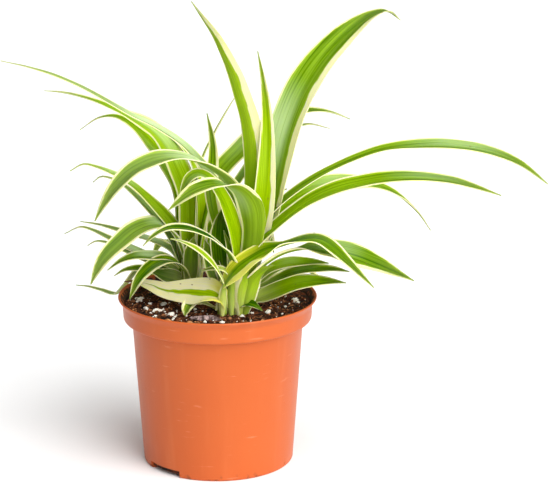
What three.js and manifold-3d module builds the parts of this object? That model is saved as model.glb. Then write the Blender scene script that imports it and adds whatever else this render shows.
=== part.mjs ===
// Potted spider plant: a variegated spider plant in a 12 cm nursery pot.
// Millimetres, +Z up. The origin is the middle of the pot's underside, on the surface it stands on.
// +X is to the right and -Y to the front.
import * as THREE from 'three';
import { mergeVertices } from 'three/addons/utils/BufferGeometryUtils.js';
import Module from 'manifold-3d';

const wasm = await Module();
wasm.setup();

// Driving dimensions of the pot
const POT_HEIGHT = 103;
const LIP_RADIUS = 60;
const BAND_RADIUS = 57.3;
const BAND_HEIGHT = 14.6;
const BODY_TOP_RADIUS = 51.7;
const BASE_RADIUS = 45.5;
const WALL = 1.2;
const FLOOR = 1.6;
const DRAIN_HOLES = 6;
const DRAIN_HOLE_RADIUS = 3.5;
const DRAIN_CIRCLE_RADIUS = 30;
const POT_SIDES = 54;
const NOTCH_HEIGHT = 4.4;
const NOTCH_HALF_ANGLE = 16;
const NOTCH_DIRECTIONS = [223, 43];
const NOTCH_BACK = 38.5;

// Driving dimensions of the soil and what lies on it
const GAP = 0.35;
const SOIL_EDGE = 98.7;
const SOIL_MIDDLE = 99.2;
const SOIL_SIDES = 36;
const SOIL_RINGS = 9;
const RIM_CALM = 4;
const GRAIN_HEIGHT = 99.3;

// Driving dimensions of the leaves
const BLADE_THICKNESS = 0.62;
const MIDRIB_THICKNESS = 1.0;
const ROOT_FOLD = 55;
const BLADE_FOLD = 14;
const TIP_WIDTH = 0.8;
const ROOT_SHARE = 0.62;
const SEGMENT_LENGTH = 14;
const MOST_SEGMENTS = 18;
const FEWEST_SEGMENTS = 5;
const STEM_SIDES = 12;

// The eye from which the places of the leaves were read, in front of the pot and above it
const EYE = new THREE.Vector3(0, -1341.6, 503);

const radians = THREE.MathUtils.degToRad;
const smooth = (x) => THREE.MathUtils.smoothstep(x, 0, 1);

// Materials
const terracotta = new THREE.MeshStandardMaterial({ color: 0xd9743f, roughness: 0.5, metalness: 0 });
const peat = new THREE.MeshStandardMaterial({ color: 0x3a2418, roughness: 0.95, metalness: 0 });
const leafGreen = new THREE.MeshStandardMaterial({ color: 0x6f9e1a, roughness: 0.45, metalness: 0 });
const perliteWhite = new THREE.MeshStandardMaterial({ color: 0xe9e4dc, roughness: 0.9, metalness: 0 });
const driedRoot = new THREE.MeshStandardMaterial({ color: 0xa58a84, roughness: 0.85, metalness: 0 });

// Solids: from a closed geometry, and back
function solid(geometry) {
  const plain = geometry.clone();
  for (const name of Object.keys(plain.attributes)) {
    if (name !== 'position') plain.deleteAttribute(name);
  }
  const merged = mergeVertices(plain, 1e-4);
  const position = merged.attributes.position;
  const index = merged.index.array;
  const triangles = [];
  let volume = 0;
  const [a, b, c] = [new THREE.Vector3(), new THREE.Vector3(), new THREE.Vector3()];
  for (let i = 0; i < index.length; i += 3) {
    const [p, q, r] = [index[i], index[i + 1], index[i + 2]];
    if (p === q || q === r || r === p) continue;
    triangles.push([p, q, r]);
    a.fromBufferAttribute(position, p);
    b.fromBufferAttribute(position, q);
    c.fromBufferAttribute(position, r);
    volume += a.dot(b.cross(c));
  }
  if (volume < 0) triangles.forEach((triangle) => triangle.reverse());
  return new wasm.Manifold(new wasm.Mesh({
    numProp: 3,
    vertProperties: new Float32Array(position.array),
    triVerts: new Uint32Array(triangles.flat()),
  }));
}

// The largest body of a join, so that loose scraps and sealed hollows drop out
function mainBody(joined) {
  return joined.decompose().reduce((best, part) => (part.volume() > best.volume() ? part : best));
}

function meshOf(name, manifold, material) {
  const { vertProperties, triVerts } = manifold.getMesh();
  const geometry = new THREE.BufferGeometry();
  geometry.setAttribute('position', new THREE.BufferAttribute(vertProperties, 3));
  geometry.setIndex(new THREE.BufferAttribute(triVerts, 1));
  geometry.computeVertexNormals();
  const mesh = new THREE.Mesh(geometry, material);
  mesh.name = name;
  return mesh;
}

// A turned shape about the upright axis, from [radius, height] points
function turned(profile, sides) {
  const points = profile.map(([radius, height]) => new THREE.Vector2(radius, height));
  return new THREE.LatheGeometry(points, sides).rotateX(Math.PI / 2);
}

function drum(radius, low, high, x, y, sides = 16) {
  return solid(new THREE.CylinderGeometry(radius, radius, high - low, sides)
    .rotateX(Math.PI / 2)
    .translate(x, y, (low + high) / 2));
}

// A block between two radii and two heights, within half an angle to each side of a direction
function sector(inner, outer, low, high, direction, halfAngle) {
  const shape = new THREE.Shape();
  const [from, to] = [radians(direction - halfAngle), radians(direction + halfAngle)];
  shape.absarc(0, 0, outer, from, to, false);
  shape.absarc(0, 0, inner, to, from, true);
  shape.closePath();
  const options = { depth: high - low, bevelEnabled: false, curveSegments: 10 };
  return solid(new THREE.ExtrudeGeometry(shape, options).translate(0, 0, low));
}

// Pot: thin wall with a deep rim band and a flared lip, drain holes and two notches at the foot
const BAND_FOOT = POT_HEIGHT - BAND_HEIGHT;
const LEDGE_TOP = BAND_FOOT + WALL + 0.2;

// The roof and walls over a notch, inside the pot
function notchRoof(direction, grow) {
  const top = NOTCH_HEIGHT + WALL + grow;
  const halfAngle = NOTCH_HALF_ANGLE + 3 + grow;
  return sector(NOTCH_BACK - WALL - grow, BASE_RADIUS - 0.6, 0.2, top, direction, halfAngle);
}

function pot() {
  const outside = [
    [0, 0],
    [BASE_RADIUS - 0.8, 0],
    [BASE_RADIUS, 0.9],
    [BODY_TOP_RADIUS, BAND_FOOT],
    [BAND_RADIUS - 2, BAND_FOOT + 0.2],
    [BAND_RADIUS - 0.8, BAND_FOOT + 0.9],
    [BAND_RADIUS - 0.4, BAND_FOOT + 2.2],
    [BAND_RADIUS, POT_HEIGHT - 4.8],
    [LIP_RADIUS - 1.8, POT_HEIGHT - 3.3],
    [LIP_RADIUS - 0.3, POT_HEIGHT - 1.3],
    [LIP_RADIUS, POT_HEIGHT - 0.6],
    [LIP_RADIUS - 0.5, POT_HEIGHT],
  ];
  const inside = [
    [LIP_RADIUS - 1.1, POT_HEIGHT - 0.3],
    [BAND_RADIUS - 0.6, POT_HEIGHT - 3.4],
    [BAND_RADIUS - WALL, POT_HEIGHT - 5.2],
    [BAND_RADIUS - WALL - 0.4, LEDGE_TOP + 0.8],
    [BAND_RADIUS - WALL - 1.1, LEDGE_TOP + 0.1],
    [BODY_TOP_RADIUS - WALL, LEDGE_TOP],
    [BASE_RADIUS - WALL, FLOOR],
    [0, FLOOR],
  ];
  let body = solid(turned([...outside, ...inside], POT_SIDES));
  for (const direction of NOTCH_DIRECTIONS) {
    const cut = sector(NOTCH_BACK, LIP_RADIUS, -1, NOTCH_HEIGHT, direction, NOTCH_HALF_ANGLE);
    body = body.add(notchRoof(direction, 0)).subtract(cut);
  }
  for (let i = 0; i < DRAIN_HOLES; i += 1) {
    const angle = radians((360 / DRAIN_HOLES) * (i + 0.5) + 13);
    const [x, y] = [DRAIN_CIRCLE_RADIUS * Math.cos(angle), DRAIN_CIRCLE_RADIUS * Math.sin(angle)];
    body = body.subtract(drum(DRAIN_HOLE_RADIUS, -1, FLOOR + 1, x, y));
  }
  return body;
}

// Lumps: a rounded body with uneven sides, for the perlite and the dried rootstock
function lump([x, y, z], [length, width, height], turn, grow, detail) {
  const geometry = mergeVertices(plainPosition(new THREE.IcosahedronGeometry(1, detail)), 1e-4);
  const position = geometry.attributes.position;
  const point = new THREE.Vector3();
  for (let i = 0; i < position.count; i += 1) {
    point.fromBufferAttribute(position, i);
    const bulges = 0.12 * Math.sin(5 * point.x + x) * Math.cos(4 * point.y + y);
    point.multiplyScalar(1 + bulges + 0.06 * Math.sin(7 * point.z));
    point.set(point.x * (length / 2 + grow), point.y * (width / 2 + grow), point.z * (height / 2 + grow));
    position.setXYZ(i, point.x, point.y, point.z);
  }
  return solid(geometry.rotateZ(radians(turn)).translate(x, y, z));
}

function plainPosition(geometry) {
  geometry.deleteAttribute('normal');
  geometry.deleteAttribute('uv');
  return geometry;
}

// Leaves. A path point is [across, up, behind]: a place on the upright plane through the pot's axis
// as the eye sees it, and how far behind that place the leaf lies along the line of sight.
function seen([across, up, behind]) {
  const place = new THREE.Vector3(across, 0, up);
  const sight = place.clone().sub(EYE).normalize();
  return place.addScaledVector(sight, behind);
}

// tilt: degrees that the blade turns its face to the front, at even steps from root to tip.
// belly: where along the leaf it is widest. taper: how long it stays wide towards the tip.
// heading: the direction that the leaf grows in, seen from above, where its path doesn't give it.
function leaf(name, width, tilt, belly, taper, path, heading) {
  return { name, width, tilt, belly, taper, path, heading };
}

function widthAt({ width, belly, taper }, along) {
  if (along < belly) return width * (ROOT_SHARE + (1 - ROOT_SHARE) * smooth(along / belly));
  const past = (along - belly) / (1 - belly);
  return Math.max(width * (1 - past ** taper), TIP_WIDTH);
}

function foldAt(along) {
  const opening = smooth(along / 0.25);
  const closing = smooth((along - 0.7) / 0.3);
  return radians(BLADE_FOLD + (ROOT_FOLD - BLADE_FOLD) * (1 - opening) + 8 * closing);
}

function tiltAt({ tilt }, along) {
  const step = along * (tilt.length - 1);
  const i = Math.min(Math.floor(step), tilt.length - 2);
  return radians(tilt[i] + (tilt[i + 1] - tilt[i]) * smooth(step - i));
}

// The cross-sections of a leaf, root to tip: centre, across the blade, and up from its upper face
function framesOf(blade) {
  const curve = new THREE.CatmullRomCurve3(blade.path.map(seen), false, 'centripetal');
  const wanted = Math.round(curve.getLength() / SEGMENT_LENGTH);
  const steps = THREE.MathUtils.clamp(wanted, FEWEST_SEGMENTS, MOST_SEGMENTS);
  const centres = curve.getSpacedPoints(steps);
  const grows = centres[steps].clone().sub(centres[0]).setZ(0).normalize();
  if (blade.heading !== undefined) {
    grows.set(Math.cos(radians(blade.heading)), Math.sin(radians(blade.heading)), 0);
  }
  const leftward = new THREE.Vector3(-grows.y, grows.x, 0);
  const turn = grows.x >= 0 ? 1 : -1;
  return centres.map((centre, i) => {
    const along = i / steps;
    const ahead = centres[Math.min(i + 1, steps)].clone().sub(centres[Math.max(i - 1, 0)]).normalize();
    const across = leftward.clone().addScaledVector(ahead, -leftward.dot(ahead)).normalize();
    const upper = new THREE.Vector3().crossVectors(ahead, across);
    const angle = turn * tiltAt(blade, along);
    across.applyAxisAngle(ahead, angle);
    upper.applyAxisAngle(ahead, angle);
    return { along, centre, across, upper };
  });
}

// One closed blade: a shallow gutter of even thickness with a thicker midrib
function bladeSolid(blade) {
  const frames = framesOf(blade);
  const points = [];
  for (const { along, centre, across, upper } of frames) {
    const half = widthAt(blade, along) / 2;
    const fold = foldAt(along);
    const skin = BLADE_THICKNESS / 2 / Math.cos(fold);
    const rib = MIDRIB_THICKNESS / 2 / Math.cos(fold);
    const edge = (side) => centre.clone()
      .addScaledVector(across, side * half * Math.cos(fold))
      .addScaledVector(upper, half * Math.sin(fold));
    const ring = [
      edge(-1).addScaledVector(upper, skin),
      centre.clone().addScaledVector(upper, rib),
      edge(1).addScaledVector(upper, skin),
      edge(1).addScaledVector(upper, -skin),
      centre.clone().addScaledVector(upper, -rib),
      edge(-1).addScaledVector(upper, -skin),
    ];
    points.push(...ring);
  }
  const index = [];
  // Upper and lower faces are split along the same diagonals, so that a twisted blade keeps its thickness
  const strips = [[0, 1], [1, 2], [3, 4], [4, 5], [2, 3], [5, 0]];
  for (let i = 0; i + 1 < frames.length; i += 1) {
    const [here, next] = [6 * i, 6 * (i + 1)];
    for (const [p, q] of strips) {
      const flip = p === 3 || p === 4;
      if (flip) index.push(here + p, next + p, here + q, next + p, next + q, here + q);
      else index.push(here + p, next + p, next + q, here + p, next + q, here + q);
    }
  }
  for (const [start, outward] of [[0, true], [6 * (frames.length - 1), false]]) {
    for (const cap of [[0, 1, 4], [0, 4, 5], [1, 2, 3], [1, 3, 4]]) {
      const corners = cap.map((corner) => start + corner);
      index.push(...(outward ? corners : corners.reverse()));
    }
  }
  const geometry = new THREE.BufferGeometry().setFromPoints(points);
  geometry.setIndex(index);
  return solid(geometry);
}

const MAIN_SHOOT = [
  leaf('tall_left', 14.5, [-10, 0, 0], 0.5, 1.7, [
    [10, 95, -27], [13, 110, -26], [18, 135, -26], [21, 160, -27], [21.5, 185, -29], [19.3, 208, -33],
    [15.2, 223, -37], [9.5, 240, -43], [0, 260, -52], [-8, 272, -59], [-14, 281, -64]
  ]),
  leaf('tall_middle', 14, [0, 0, 0], 0.35, 1.4, [
    [11, 95, -28], [17, 112, -29], [23.5, 135, -31], [27.3, 155, -33], [29, 170, -34], [29.8, 185, -35],
    [30.2, 200, -36], [29.9, 215, -36], [28.6, 228, -36], [26.7, 240, -35], [24.5, 251.5, -33]
  ], 80),
  leaf('tall_right', 24, [10, 15, 15, 20, 0], 0.55, 2, [
    [12, 95, -27], [19, 112, -25], [26, 135, -23], [31, 155, -21], [36, 180, -17], [41.5, 203, -12],
    [49, 224, -6], [59, 241, 1], [70, 254.5, 9], [84, 267, 19], [92, 272.2, 26], [100, 274.5, 33],
    [108, 269.5, 41]
  ]),
  leaf('long_right_high', 15.6, [30, 5, 0, 13, 28], 0.6, 2.4, [
    [13, 95, -27], [19, 112, -27], [23, 132, -27], [27, 145, -27], [33.5, 154, -27], [45, 164.5, -27],
    [60, 174.5, -27], [80, 184.6, -26], [100, 191.4, -25], [120, 193.7, -24], [140, 193.4, -23],
    [160, 190.2, -22], [180, 182.6, -21], [198, 170, -19]
  ]),
  leaf('long_right_low', 15.5, [10, 20, 20, 15, 20], 0.5, 2.4, [
    [12.5, 95, -29], [18, 112, -31], [22.5, 129, -33], [27, 136.5, -35], [34, 143.5, -37],
    [45, 152.8, -39], [57, 161.2, -41], [70, 167, -44], [85, 171, -46], [100, 173.7, -48],
    [120, 174.2, -51], [140, 172, -53], [155, 168, -55], [170, 163.3, -57]
  ]),
  leaf('long_right_behind', 13, [10, 15, 15, 30, 40, 35, 20, 15, 15], 0.55, 2, [
    [13, 95, -24], [22, 120, -18], [30, 145, -10], [40, 157, -4], [50, 164.5, 1], [60, 169, 6],
    [70, 171.3, 10], [80, 171.6, 14], [90, 170.8, 17], [100, 168, 20], [108, 163.8, 24], [114, 159, 27],
    [121, 152, 29], [128, 142, 31]
  ]),
  leaf('small_dark_right', 9, [0, 10, 20, 20], 0.55, 2, [
    [13, 96, -22], [22, 130, -16], [28, 150, -12], [32.5, 160.5, -10], [37, 166, -9], [42, 168.3, -8]
  ]),
  leaf('folded_front', 17, [-10, -10, -8, -8, -25, -12, 12, 22, 28], 0.52, 2.4, [
    [11, 95, -29], [15, 112, -33], [18.5, 128, -36], [20.3, 140, -38], [20.3, 150, -40],
    [18.6, 158.5, -43], [14.5, 165.5, -47], [8, 169.8, -51], [0, 171, -55], [-8, 169.5, -59],
    [-15, 166.5, -62], [-22, 161.5, -65], [-29, 155.5, -68]
  ]),
  leaf('high_arch_left', 17, [-45, -40, -35, -30, -12, 5, 20, 32, 38], 0.6, 2.2, [
    [11, 95, -26], [15.5, 112, -25], [17.5, 130, -25], [16.5, 148, -26], [11.8, 162, -28],
    [4.4, 174, -31], [-3, 179.9, -33], [-10.5, 184.3, -35], [-20, 187.2, -37.5], [-30, 187.3, -39.5],
    [-40, 184.8, -42], [-50, 179.6, -45], [-59.8, 170, -48], [-67.5, 159, -51], [-73, 149, -54]
  ]),
  leaf('far_left_high', 9.5, [40, 40, 35, 25, 10, 5, 10, 15, 15], 0.35, 1.5, [
    [10, 95, -25], [12, 112, -23], [12, 130, -22], [9, 147, -21], [3.8, 161, -21], [-3, 174, -20],
    [-10.5, 185, -18], [-20, 195.3, -16], [-35, 205.8, -15], [-50, 213.2, -14], [-65, 222.3, -13],
    [-80, 230.8, -12], [-95, 237.6, -11], [-110, 242.6, -10], [-126, 246.5, -8]
  ]),
  leaf('low_right_front', 15.5, [10, 26, 56, 32, -4, 8, 20, 18, 15], 0.4, 2.4, [
    [3, 94, -31], [3.6, 102, -33], [5.2, 108.5, -36], [8, 113.4, -39.5], [12, 118.3, -42],
    [16.5, 122.2, -43.3], [21.5, 125.6, -44.2], [26.8, 128.6, -44.8], [31.5, 130.4, -45.2],
    [36.5, 132, -45.5], [42, 133.8, -46], [50, 135.8, -47], [58, 136.6, -48], [64, 134.8, -49],
    [70, 130.2, -51], [76, 124.4, -52], [82, 118.5, -54], [90, 110.5, -56], [94.5, 106.3, -57]
  ]),
  leaf('low_right_broad', 18, [8, -6, -12, -14, 20, 36, 28, 20], 0.62, 2, [
    [12, 94, -27], [16, 106, -30], [23, 115.5, -33.5], [31, 122.5, -36], [40, 127.8, -36],
    [50, 130.4, -37], [61, 130.7, -38], [72, 129, -39], [84, 125.5, -40], [96, 120.5, -41],
    [108, 115, -41], [118.5, 110.6, -42]
  ]),
  leaf('small_arch_left', 11, [-20, -10, 10, 20, 20], 0.5, 1.7, [
    [9, 95, -29], [10, 112, -35], [9, 122, -37], [5, 130, -38.5], [0, 134.5, -40], [-5, 138.5, -41],
    [-10, 141, -43], [-16, 143.5, -45], [-22, 144.5, -47], [-28, 144.5, -49], [-33, 143, -51],
    [-39, 139, -52.5], [-44.5, 133.5, -54]
  ]),
  leaf('dark_middle', 13, [0, 0, 0], 0.65, 2.6, [
    [8, 96, -25], [5, 112, -23], [2.6, 125, -21.5], [1.8, 140, -20], [3.4, 157, -18]
  ], 100),
  leaf('arch_behind_fold', 12, [78, 78, 76, 72, 55, 25, 10], 0.5, 2.2, [
    [9, 95, -27], [12, 110, -29], [12.4, 125, -30], [11.6, 135, -31], [9.6, 145, -32], [6.4, 155, -33],
    [2.9, 163, -34], [-1.2, 170, -36], [-5.8, 175.6, -38], [-11.3, 177.8, -40], [-16.3, 175, -42],
    [-19.8, 168, -44], [-22, 158, -46]
  ]),
  leaf('young_upright', 8.5, [50, 55, 55], 0.6, 1.7, [
    [9, 96, -22], [7, 115, -14], [3.5, 135, -9], [0.8, 147, -8], [-1.6, 157, -8], [-3, 167, -8],
    [-2.7, 178, -7.5], [-1.8, 189, -7], [-2.6, 200, -6], [-5.5, 214.5, -5]
  ]),
  leaf('dark_short', 10, [0, 0, 0], 0.6, 2.5, [
    [8, 95, -26], [0, 112, -24], [-4, 124, -22], [-7.5, 137, -19]
  ], 100),
  leaf('short_pointed', 5, [0, 0, 0], 0.5, 2, [
    [9, 96, -28], [8.5, 118, -31], [7.3, 131, -31.5], [4, 143, -31]
  ], 100),
  leaf('small_pale_left', 5, [10, 20, 20], 0.5, 2, [
    [9, 106, -30], [7, 115, -34], [3, 118.8, -36], [-3, 119.2, -35], [-10, 117.5, -33]
  ]),
  leaf('tiny_front', 6, [0, 30, 30], 0.5, 1.7, [
    [10, 94, -27], [14, 95, -32], [18, 97, -36], [22, 96, -40], [27, 92.5, -44]
  ]),
  leaf('hidden_back_right', 13, [0, 0, 0], 0.5, 1.7, [
    [13, 96, -24], [19, 126, -12], [22, 136, 4], [26, 140, 24], [30, 139, 48], [34, 129, 72]
  ]),
  leaf('narrow_left', 8, [20, 30, 40, 30], 0.4, 1.7, [
    [3, 92, -32], [4, 106, -37], [1.5, 114, -39], [-3, 122, -41], [-8, 127.5, -43], [-12, 131, -45],
    [-18, 134.5, -48], [-24, 137, -50], [-28, 138, -52]
  ]),
  leaf('broad_lying_left', 20, [30, 50, 45, 30], 0.16, 1.15, [
    [3.4, 98.5, -31.5], [1.4, 100.6, -33.5], [-2.5, 102.2, -33.5], [-9, 103.8, -30], [-16, 104.3, -25],
    [-24, 104.8, -20], [-32, 105.8, -14], [-40, 108.8, -8], [-48, 111.2, -3], [-56, 111.5, 2]
  ]),
  leaf('short_down_left', 8, [0, 20, 30], 0.7, 2.6, [
    [1, 92, -31], [-4, 95, -27], [-10, 98, -24], [-15, 98.4, -28], [-18, 95, -34], [-19.8, 89.5, -40]
  ]),
];
const RIGHT_SHOOT = [
  leaf('right_upper', 12, [10, 20, 20], 0.5, 2, [
    [20.5, 99, -6], [24, 108.5, -8], [28, 114, -10], [34, 119, -12], [42, 121.6, -14], [50, 122.3, -16],
    [58, 122.4, -18], [67, 122, -20]
  ]),
  leaf('right_middle', 11, [10, 20, 20], 0.5, 2, [
    [20.5, 99, -6], [24, 105, -9], [31, 109.5, -12], [38, 113, -15], [46, 116, -18], [54, 117.8, -21],
    [62, 118.2, -24], [70, 118, -27], [79.5, 116.6, -30]
  ]),
  leaf('right_lower', 14.5, [40, 42, 30, 25], 0.38, 2, [
    [20, 97, -6], [23, 98.5, -10], [28, 101.2, -13], [36, 105, -17], [44, 108, -21], [52, 109.6, -25],
    [60, 110.3, -28], [68, 110.2, -31], [77.5, 109.6, -34]
  ]),
  leaf('right_behind', 12, [0, 0, 0], 0.5, 1.7, [
    [20.5, 99, -6], [26, 110, 2], [34, 117, 14], [44, 119, 28], [54, 117, 42], [64, 110, 56]
  ]),
];
const LEFT_SHOOT = [
  leaf('thin_up_right', 7, [0, 0, 0], 0.5, 1.7, [
    [-14, 106, 14], [-13, 130, 10], [-12, 160, 8], [-10, 180, 8], [-6, 192, 9], [-2, 200, 10],
    [2, 208, 12], [9, 220.5, 15], [13, 227, 17]
  ]),
  leaf('behind_tall', 18, [10, 15, 10], 0.5, 1.7, [
    [-14, 106, 14], [-12, 125, 14], [-9, 150, 16], [-3.5, 168, 19], [4, 180, 22], [13, 190, 26],
    [25, 202, 31], [38, 210.5, 37], [50, 214.8, 42], [62, 215.3, 47], [71, 213.5, 51], [79, 210.5, 54]
  ]),
  leaf('behind_tall_low', 11, [0, 0, 0], 0.5, 1.7, [
    [-13, 106, 16], [-6, 140, 22], [4, 158, 28], [14, 174, 33], [28, 193, 38], [42, 203, 43],
    [54.5, 207.3, 47], [67, 205, 51]
  ]),
  leaf('left_middle', 12, [60, 60, 45, 15, 10], 0.45, 1.7, [
    [-14, 106, 18], [-12, 122, 17], [-10.5, 140, 15], [-10, 155, 14], [-10.8, 167, 13.5], [-13, 178, 13],
    [-17, 187.5, 12], [-23, 196, 11], [-30, 202.3, 10], [-38, 207, 9], [-46, 210.5, 8]
  ]),
  leaf('left_broad', 16.5, [60, 65, 65, 60, 58, 38, 15, 8, 5], 0.4, 1.6, [
    [-17, 106, 14], [-17.5, 120, 11], [-18, 135, 9], [-18, 150, 8], [-18.3, 163, 8], [-20.3, 173, 8],
    [-23.8, 182, 7], [-28.5, 193, 6], [-33, 199.5, 5], [-38, 204.6, 4], [-44, 208.6, 3], [-51, 212.3, 2],
    [-60, 216.8, 0], [-72, 222, -2], [-82, 225.3, -3], [-92, 227.6, -4], [-101, 228.5, -5]
  ]),
  leaf('left_behind', 17.5, [60, 55, 45, 30, -5], 0.35, 1.1, [
    [-18, 106, 20], [-19, 120, 19], [-19, 140, 19], [-18.7, 158, 19], [-22.8, 173, 20], [-31.2, 186, 21],
    [-40.2, 197.4, 22], [-47.2, 205.6, 23], [-53, 210, 24], [-60, 212.8, 25], [-70, 211.6, 27],
    [-80.5, 205, 29]
  ]),
  leaf('left_under_arch', 12.5, [40, 40, 30, 20], 0.4, 1.05, [
    [-18, 106, 12], [-19, 118, 10], [-21, 133, 8], [-26, 144, 6], [-32, 152, 4], [-40, 161, 2],
    [-48, 169, 0], [-56, 175.3, -2], [-64, 179.3, -4], [-72, 182.5, -5], [-79, 184, -6], [-87, 180, -8]
  ]),
  leaf('left_under_arch_low', 11.5, [30, 30, 25, 15], 0.4, 1.1, [
    [-19, 106, 14], [-22, 122, 14], [-28, 139, 13], [-35, 149.5, 12], [-42, 157.5, 11], [-49, 165, 10],
    [-57, 172, 9], [-64, 175.6, 8], [-69, 176.3, 7], [-73.5, 173, 6]
  ]),
  leaf('hidden_back', 13, [0, 0, 0], 0.5, 1.7, [
    [-14, 106, 16], [-11, 135, 22], [-10, 154, 38], [-9, 162, 60], [-8, 160, 84], [-6, 148, 106]
  ]),
  leaf('hidden_back_middle', 13, [0, 0, 0], 0.5, 1.7, [
    [-14, 106, 16], [-8, 131, 24], [-1, 142, 40], [8, 147, 60], [16, 146, 82], [22, 135, 100]
  ]),
  leaf('hidden_back_left', 12, [0, 0, 0], 0.5, 1.7, [
    [-16, 106, 16], [-19, 124, 26], [-23, 133, 40], [-28, 137, 58], [-33, 136, 78], [-39, 127, 96]
  ]),
  leaf('low_arch_left', 14.4, [0, 8, 20, 26, 28], 0.56, 2.4, [
    [-20, 104, 8], [-21.3, 125, 6], [-26, 140.2, 2], [-33.5, 146.6, -3], [-42, 146.2, -8],
    [-50.3, 142.4, -13], [-58.4, 135.2, -18], [-66.8, 126.8, -23], [-72.3, 118, -27], [-76.2, 109.8, -30]
  ]),
  leaf('thin_far_left_top', 9, [0, 0, 0], 0.5, 1.7, [
    [-20, 104, 12], [-21, 118, 18], [-26, 129.5, 22], [-36, 135.5, 27], [-48, 139.5, 33],
    [-60, 143.5, 39], [-70, 146.5, 44], [-81.5, 149, 50]
  ]),
  leaf('thin_far_left', 11, [0, 0, 0], 0.45, 1.2, [
    [-20, 104, 10], [-24, 116, 13], [-34, 123.5, 15], [-48, 129.5, 19], [-58, 134.5, 22],
    [-67, 139.5, 26], [-75, 143.5, 29], [-82, 145.3, 32], [-91, 141.5, 36]
  ]),
  leaf('thin_far_left_low', 10, [0, 0, 0], 0.5, 1.7, [
    [-20, 104, 9], [-26, 114, 10], [-36, 120.5, 11], [-47, 126, 13], [-57, 131, 15], [-66, 135.3, 18],
    [-73, 136.4, 20], [-77.5, 134, 21]
  ]),
  leaf('over_the_rim', 8, [0, 0, 0], 0.5, 1.7, [
    [-20, 104, 11], [-28, 116, 20], [-38, 121, 28], [-47, 119, 35], [-55, 109, 41], [-61, 103.5, 45],
    [-70, 106, 52], [-78, 108.4, 58], [-85, 109.5, 63]
  ]),
  leaf('drooping_left', 10, [0, 10, 20, 20, 30], 0.55, 2.2, [
    [-19, 104, 6], [-18.5, 113, 2], [-20.5, 119, -1], [-25, 123.5, -4], [-31, 124.5, -7],
    [-37, 122.3, -10], [-43, 117.5, -13], [-48, 111, -16], [-53, 100.5, -19]
  ]),
  leaf('level_left', 11, [0, 10, 20, 10], 0.5, 1.7, [
    [-19, 104, 8], [-19.5, 114, 5], [-24, 122, 2], [-31, 126, -1], [-40, 126.8, -4], [-49, 127, -7],
    [-57, 124.5, -9], [-66, 118.5, -12]
  ]),
  leaf('level_left_low', 9, [0, 10, 20, 10], 0.5, 1.7, [
    [-20, 104, 9], [-24, 111, 7], [-32, 115, 5], [-41, 118, 3], [-49, 119.3, 1], [-56, 118.3, -1],
    [-62, 115, -2]
  ]),
  leaf('dark_low_left', 13, [20, 40, 40], 0.5, 1.7, [
    [-18, 103, 6], [-19, 108, 4], [-24, 112, 2], [-32, 114.5, 0], [-41, 118, -2]
  ]),
  leaf('dark_short_left', 10, [0, 0, 0], 0.6, 2.5, [
    [-18, 103, 5], [-16, 116, 0], [-15.5, 128, -3], [-14, 139, -5]
  ], 270),
  leaf('hidden_back_low', 12, [0, 0, 0], 0.5, 1.7, [
    [-20, 104, 12], [-25, 116, 28], [-31, 122, 48], [-37, 119, 70], [-42, 108, 90]
  ]),
];

// Stems: the stout pale base where the leaves of a shoot clasp each other, standing in a hole in the soil.
// rings: [radius, height], bottom to top. lean: sideways and backward for each millimetre of height.
function stem({ x, y, lean, rings }, grow = 0) {
  const profile = rings.map(([radius, height]) => [radius + grow, height]);
  profile.unshift([0, rings[0][1]]);
  profile.push([0, rings[rings.length - 1][1]]);
  const slanting = new THREE.Matrix4().makeShear(0, 0, 0, 0, lean[0], lean[1]);
  const geometry = turned(profile, STEM_SIDES).translate(0, 0, -SOIL_MIDDLE).applyMatrix4(slanting);
  return solid(geometry.translate(x, y, SOIL_MIDDLE));
}

const MAIN_STEM = {
  x: 9.3,
  y: -25.8,
  lean: [0.38, 0.04],
  rings: [[3.4, 84], [4.1, 92], [4.4, 100], [5.6, 108], [6.6, 115], [5.6, 121], [2.5, 124]],
};
const FRONT_STEM = {
  x: 2.6,
  y: -30.8,
  lean: [0.08, -0.1],
  rings: [[2.4, 84], [2.9, 94], [2.7, 102], [3.1, 108], [2.2, 113], [1.2, 114.5]],
};
const RIGHT_STEM = {
  x: 20.4,
  y: -5.6,
  lean: [0.3, -0.1],
  rings: [[2.8, 84], [3.4, 94], [3.8, 101], [3.6, 106], [1.6, 108]],
};
const LEFT_STEM = {
  x: -17,
  y: 10.6,
  lean: [0, 0.05],
  rings: [[4.2, 84], [5.2, 94], [6.2, 101], [7.4, 108], [7.2, 114], [4.5, 119], [2, 121]],
};

// A shoot is one body: its stems with all their leaves grown into them
function shoot(stems, leaves) {
  const parts = [...stems.map((one) => stem(one)), ...leaves.map((blade) => bladeSolid(blade))];
  return mainBody(parts.reduce((body, part) => body.add(part)));
}

// Soil: peat up to just below the lip, gently mounded and crumbly on top
function crumbs(x, y) {
  const mound = 0.5 * Math.sin(0.11 * x + 0.6) * Math.sin(0.13 * y - 0.4);
  const clods = 0.45 * Math.sin(0.42 * x + 1.3) * Math.sin(0.37 * y + 0.5);
  const bits = 0.3 * Math.sin(0.95 * x + 0.2) * Math.sin(1.05 * y + 1.9);
  return mound + clods + bits;
}

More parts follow.
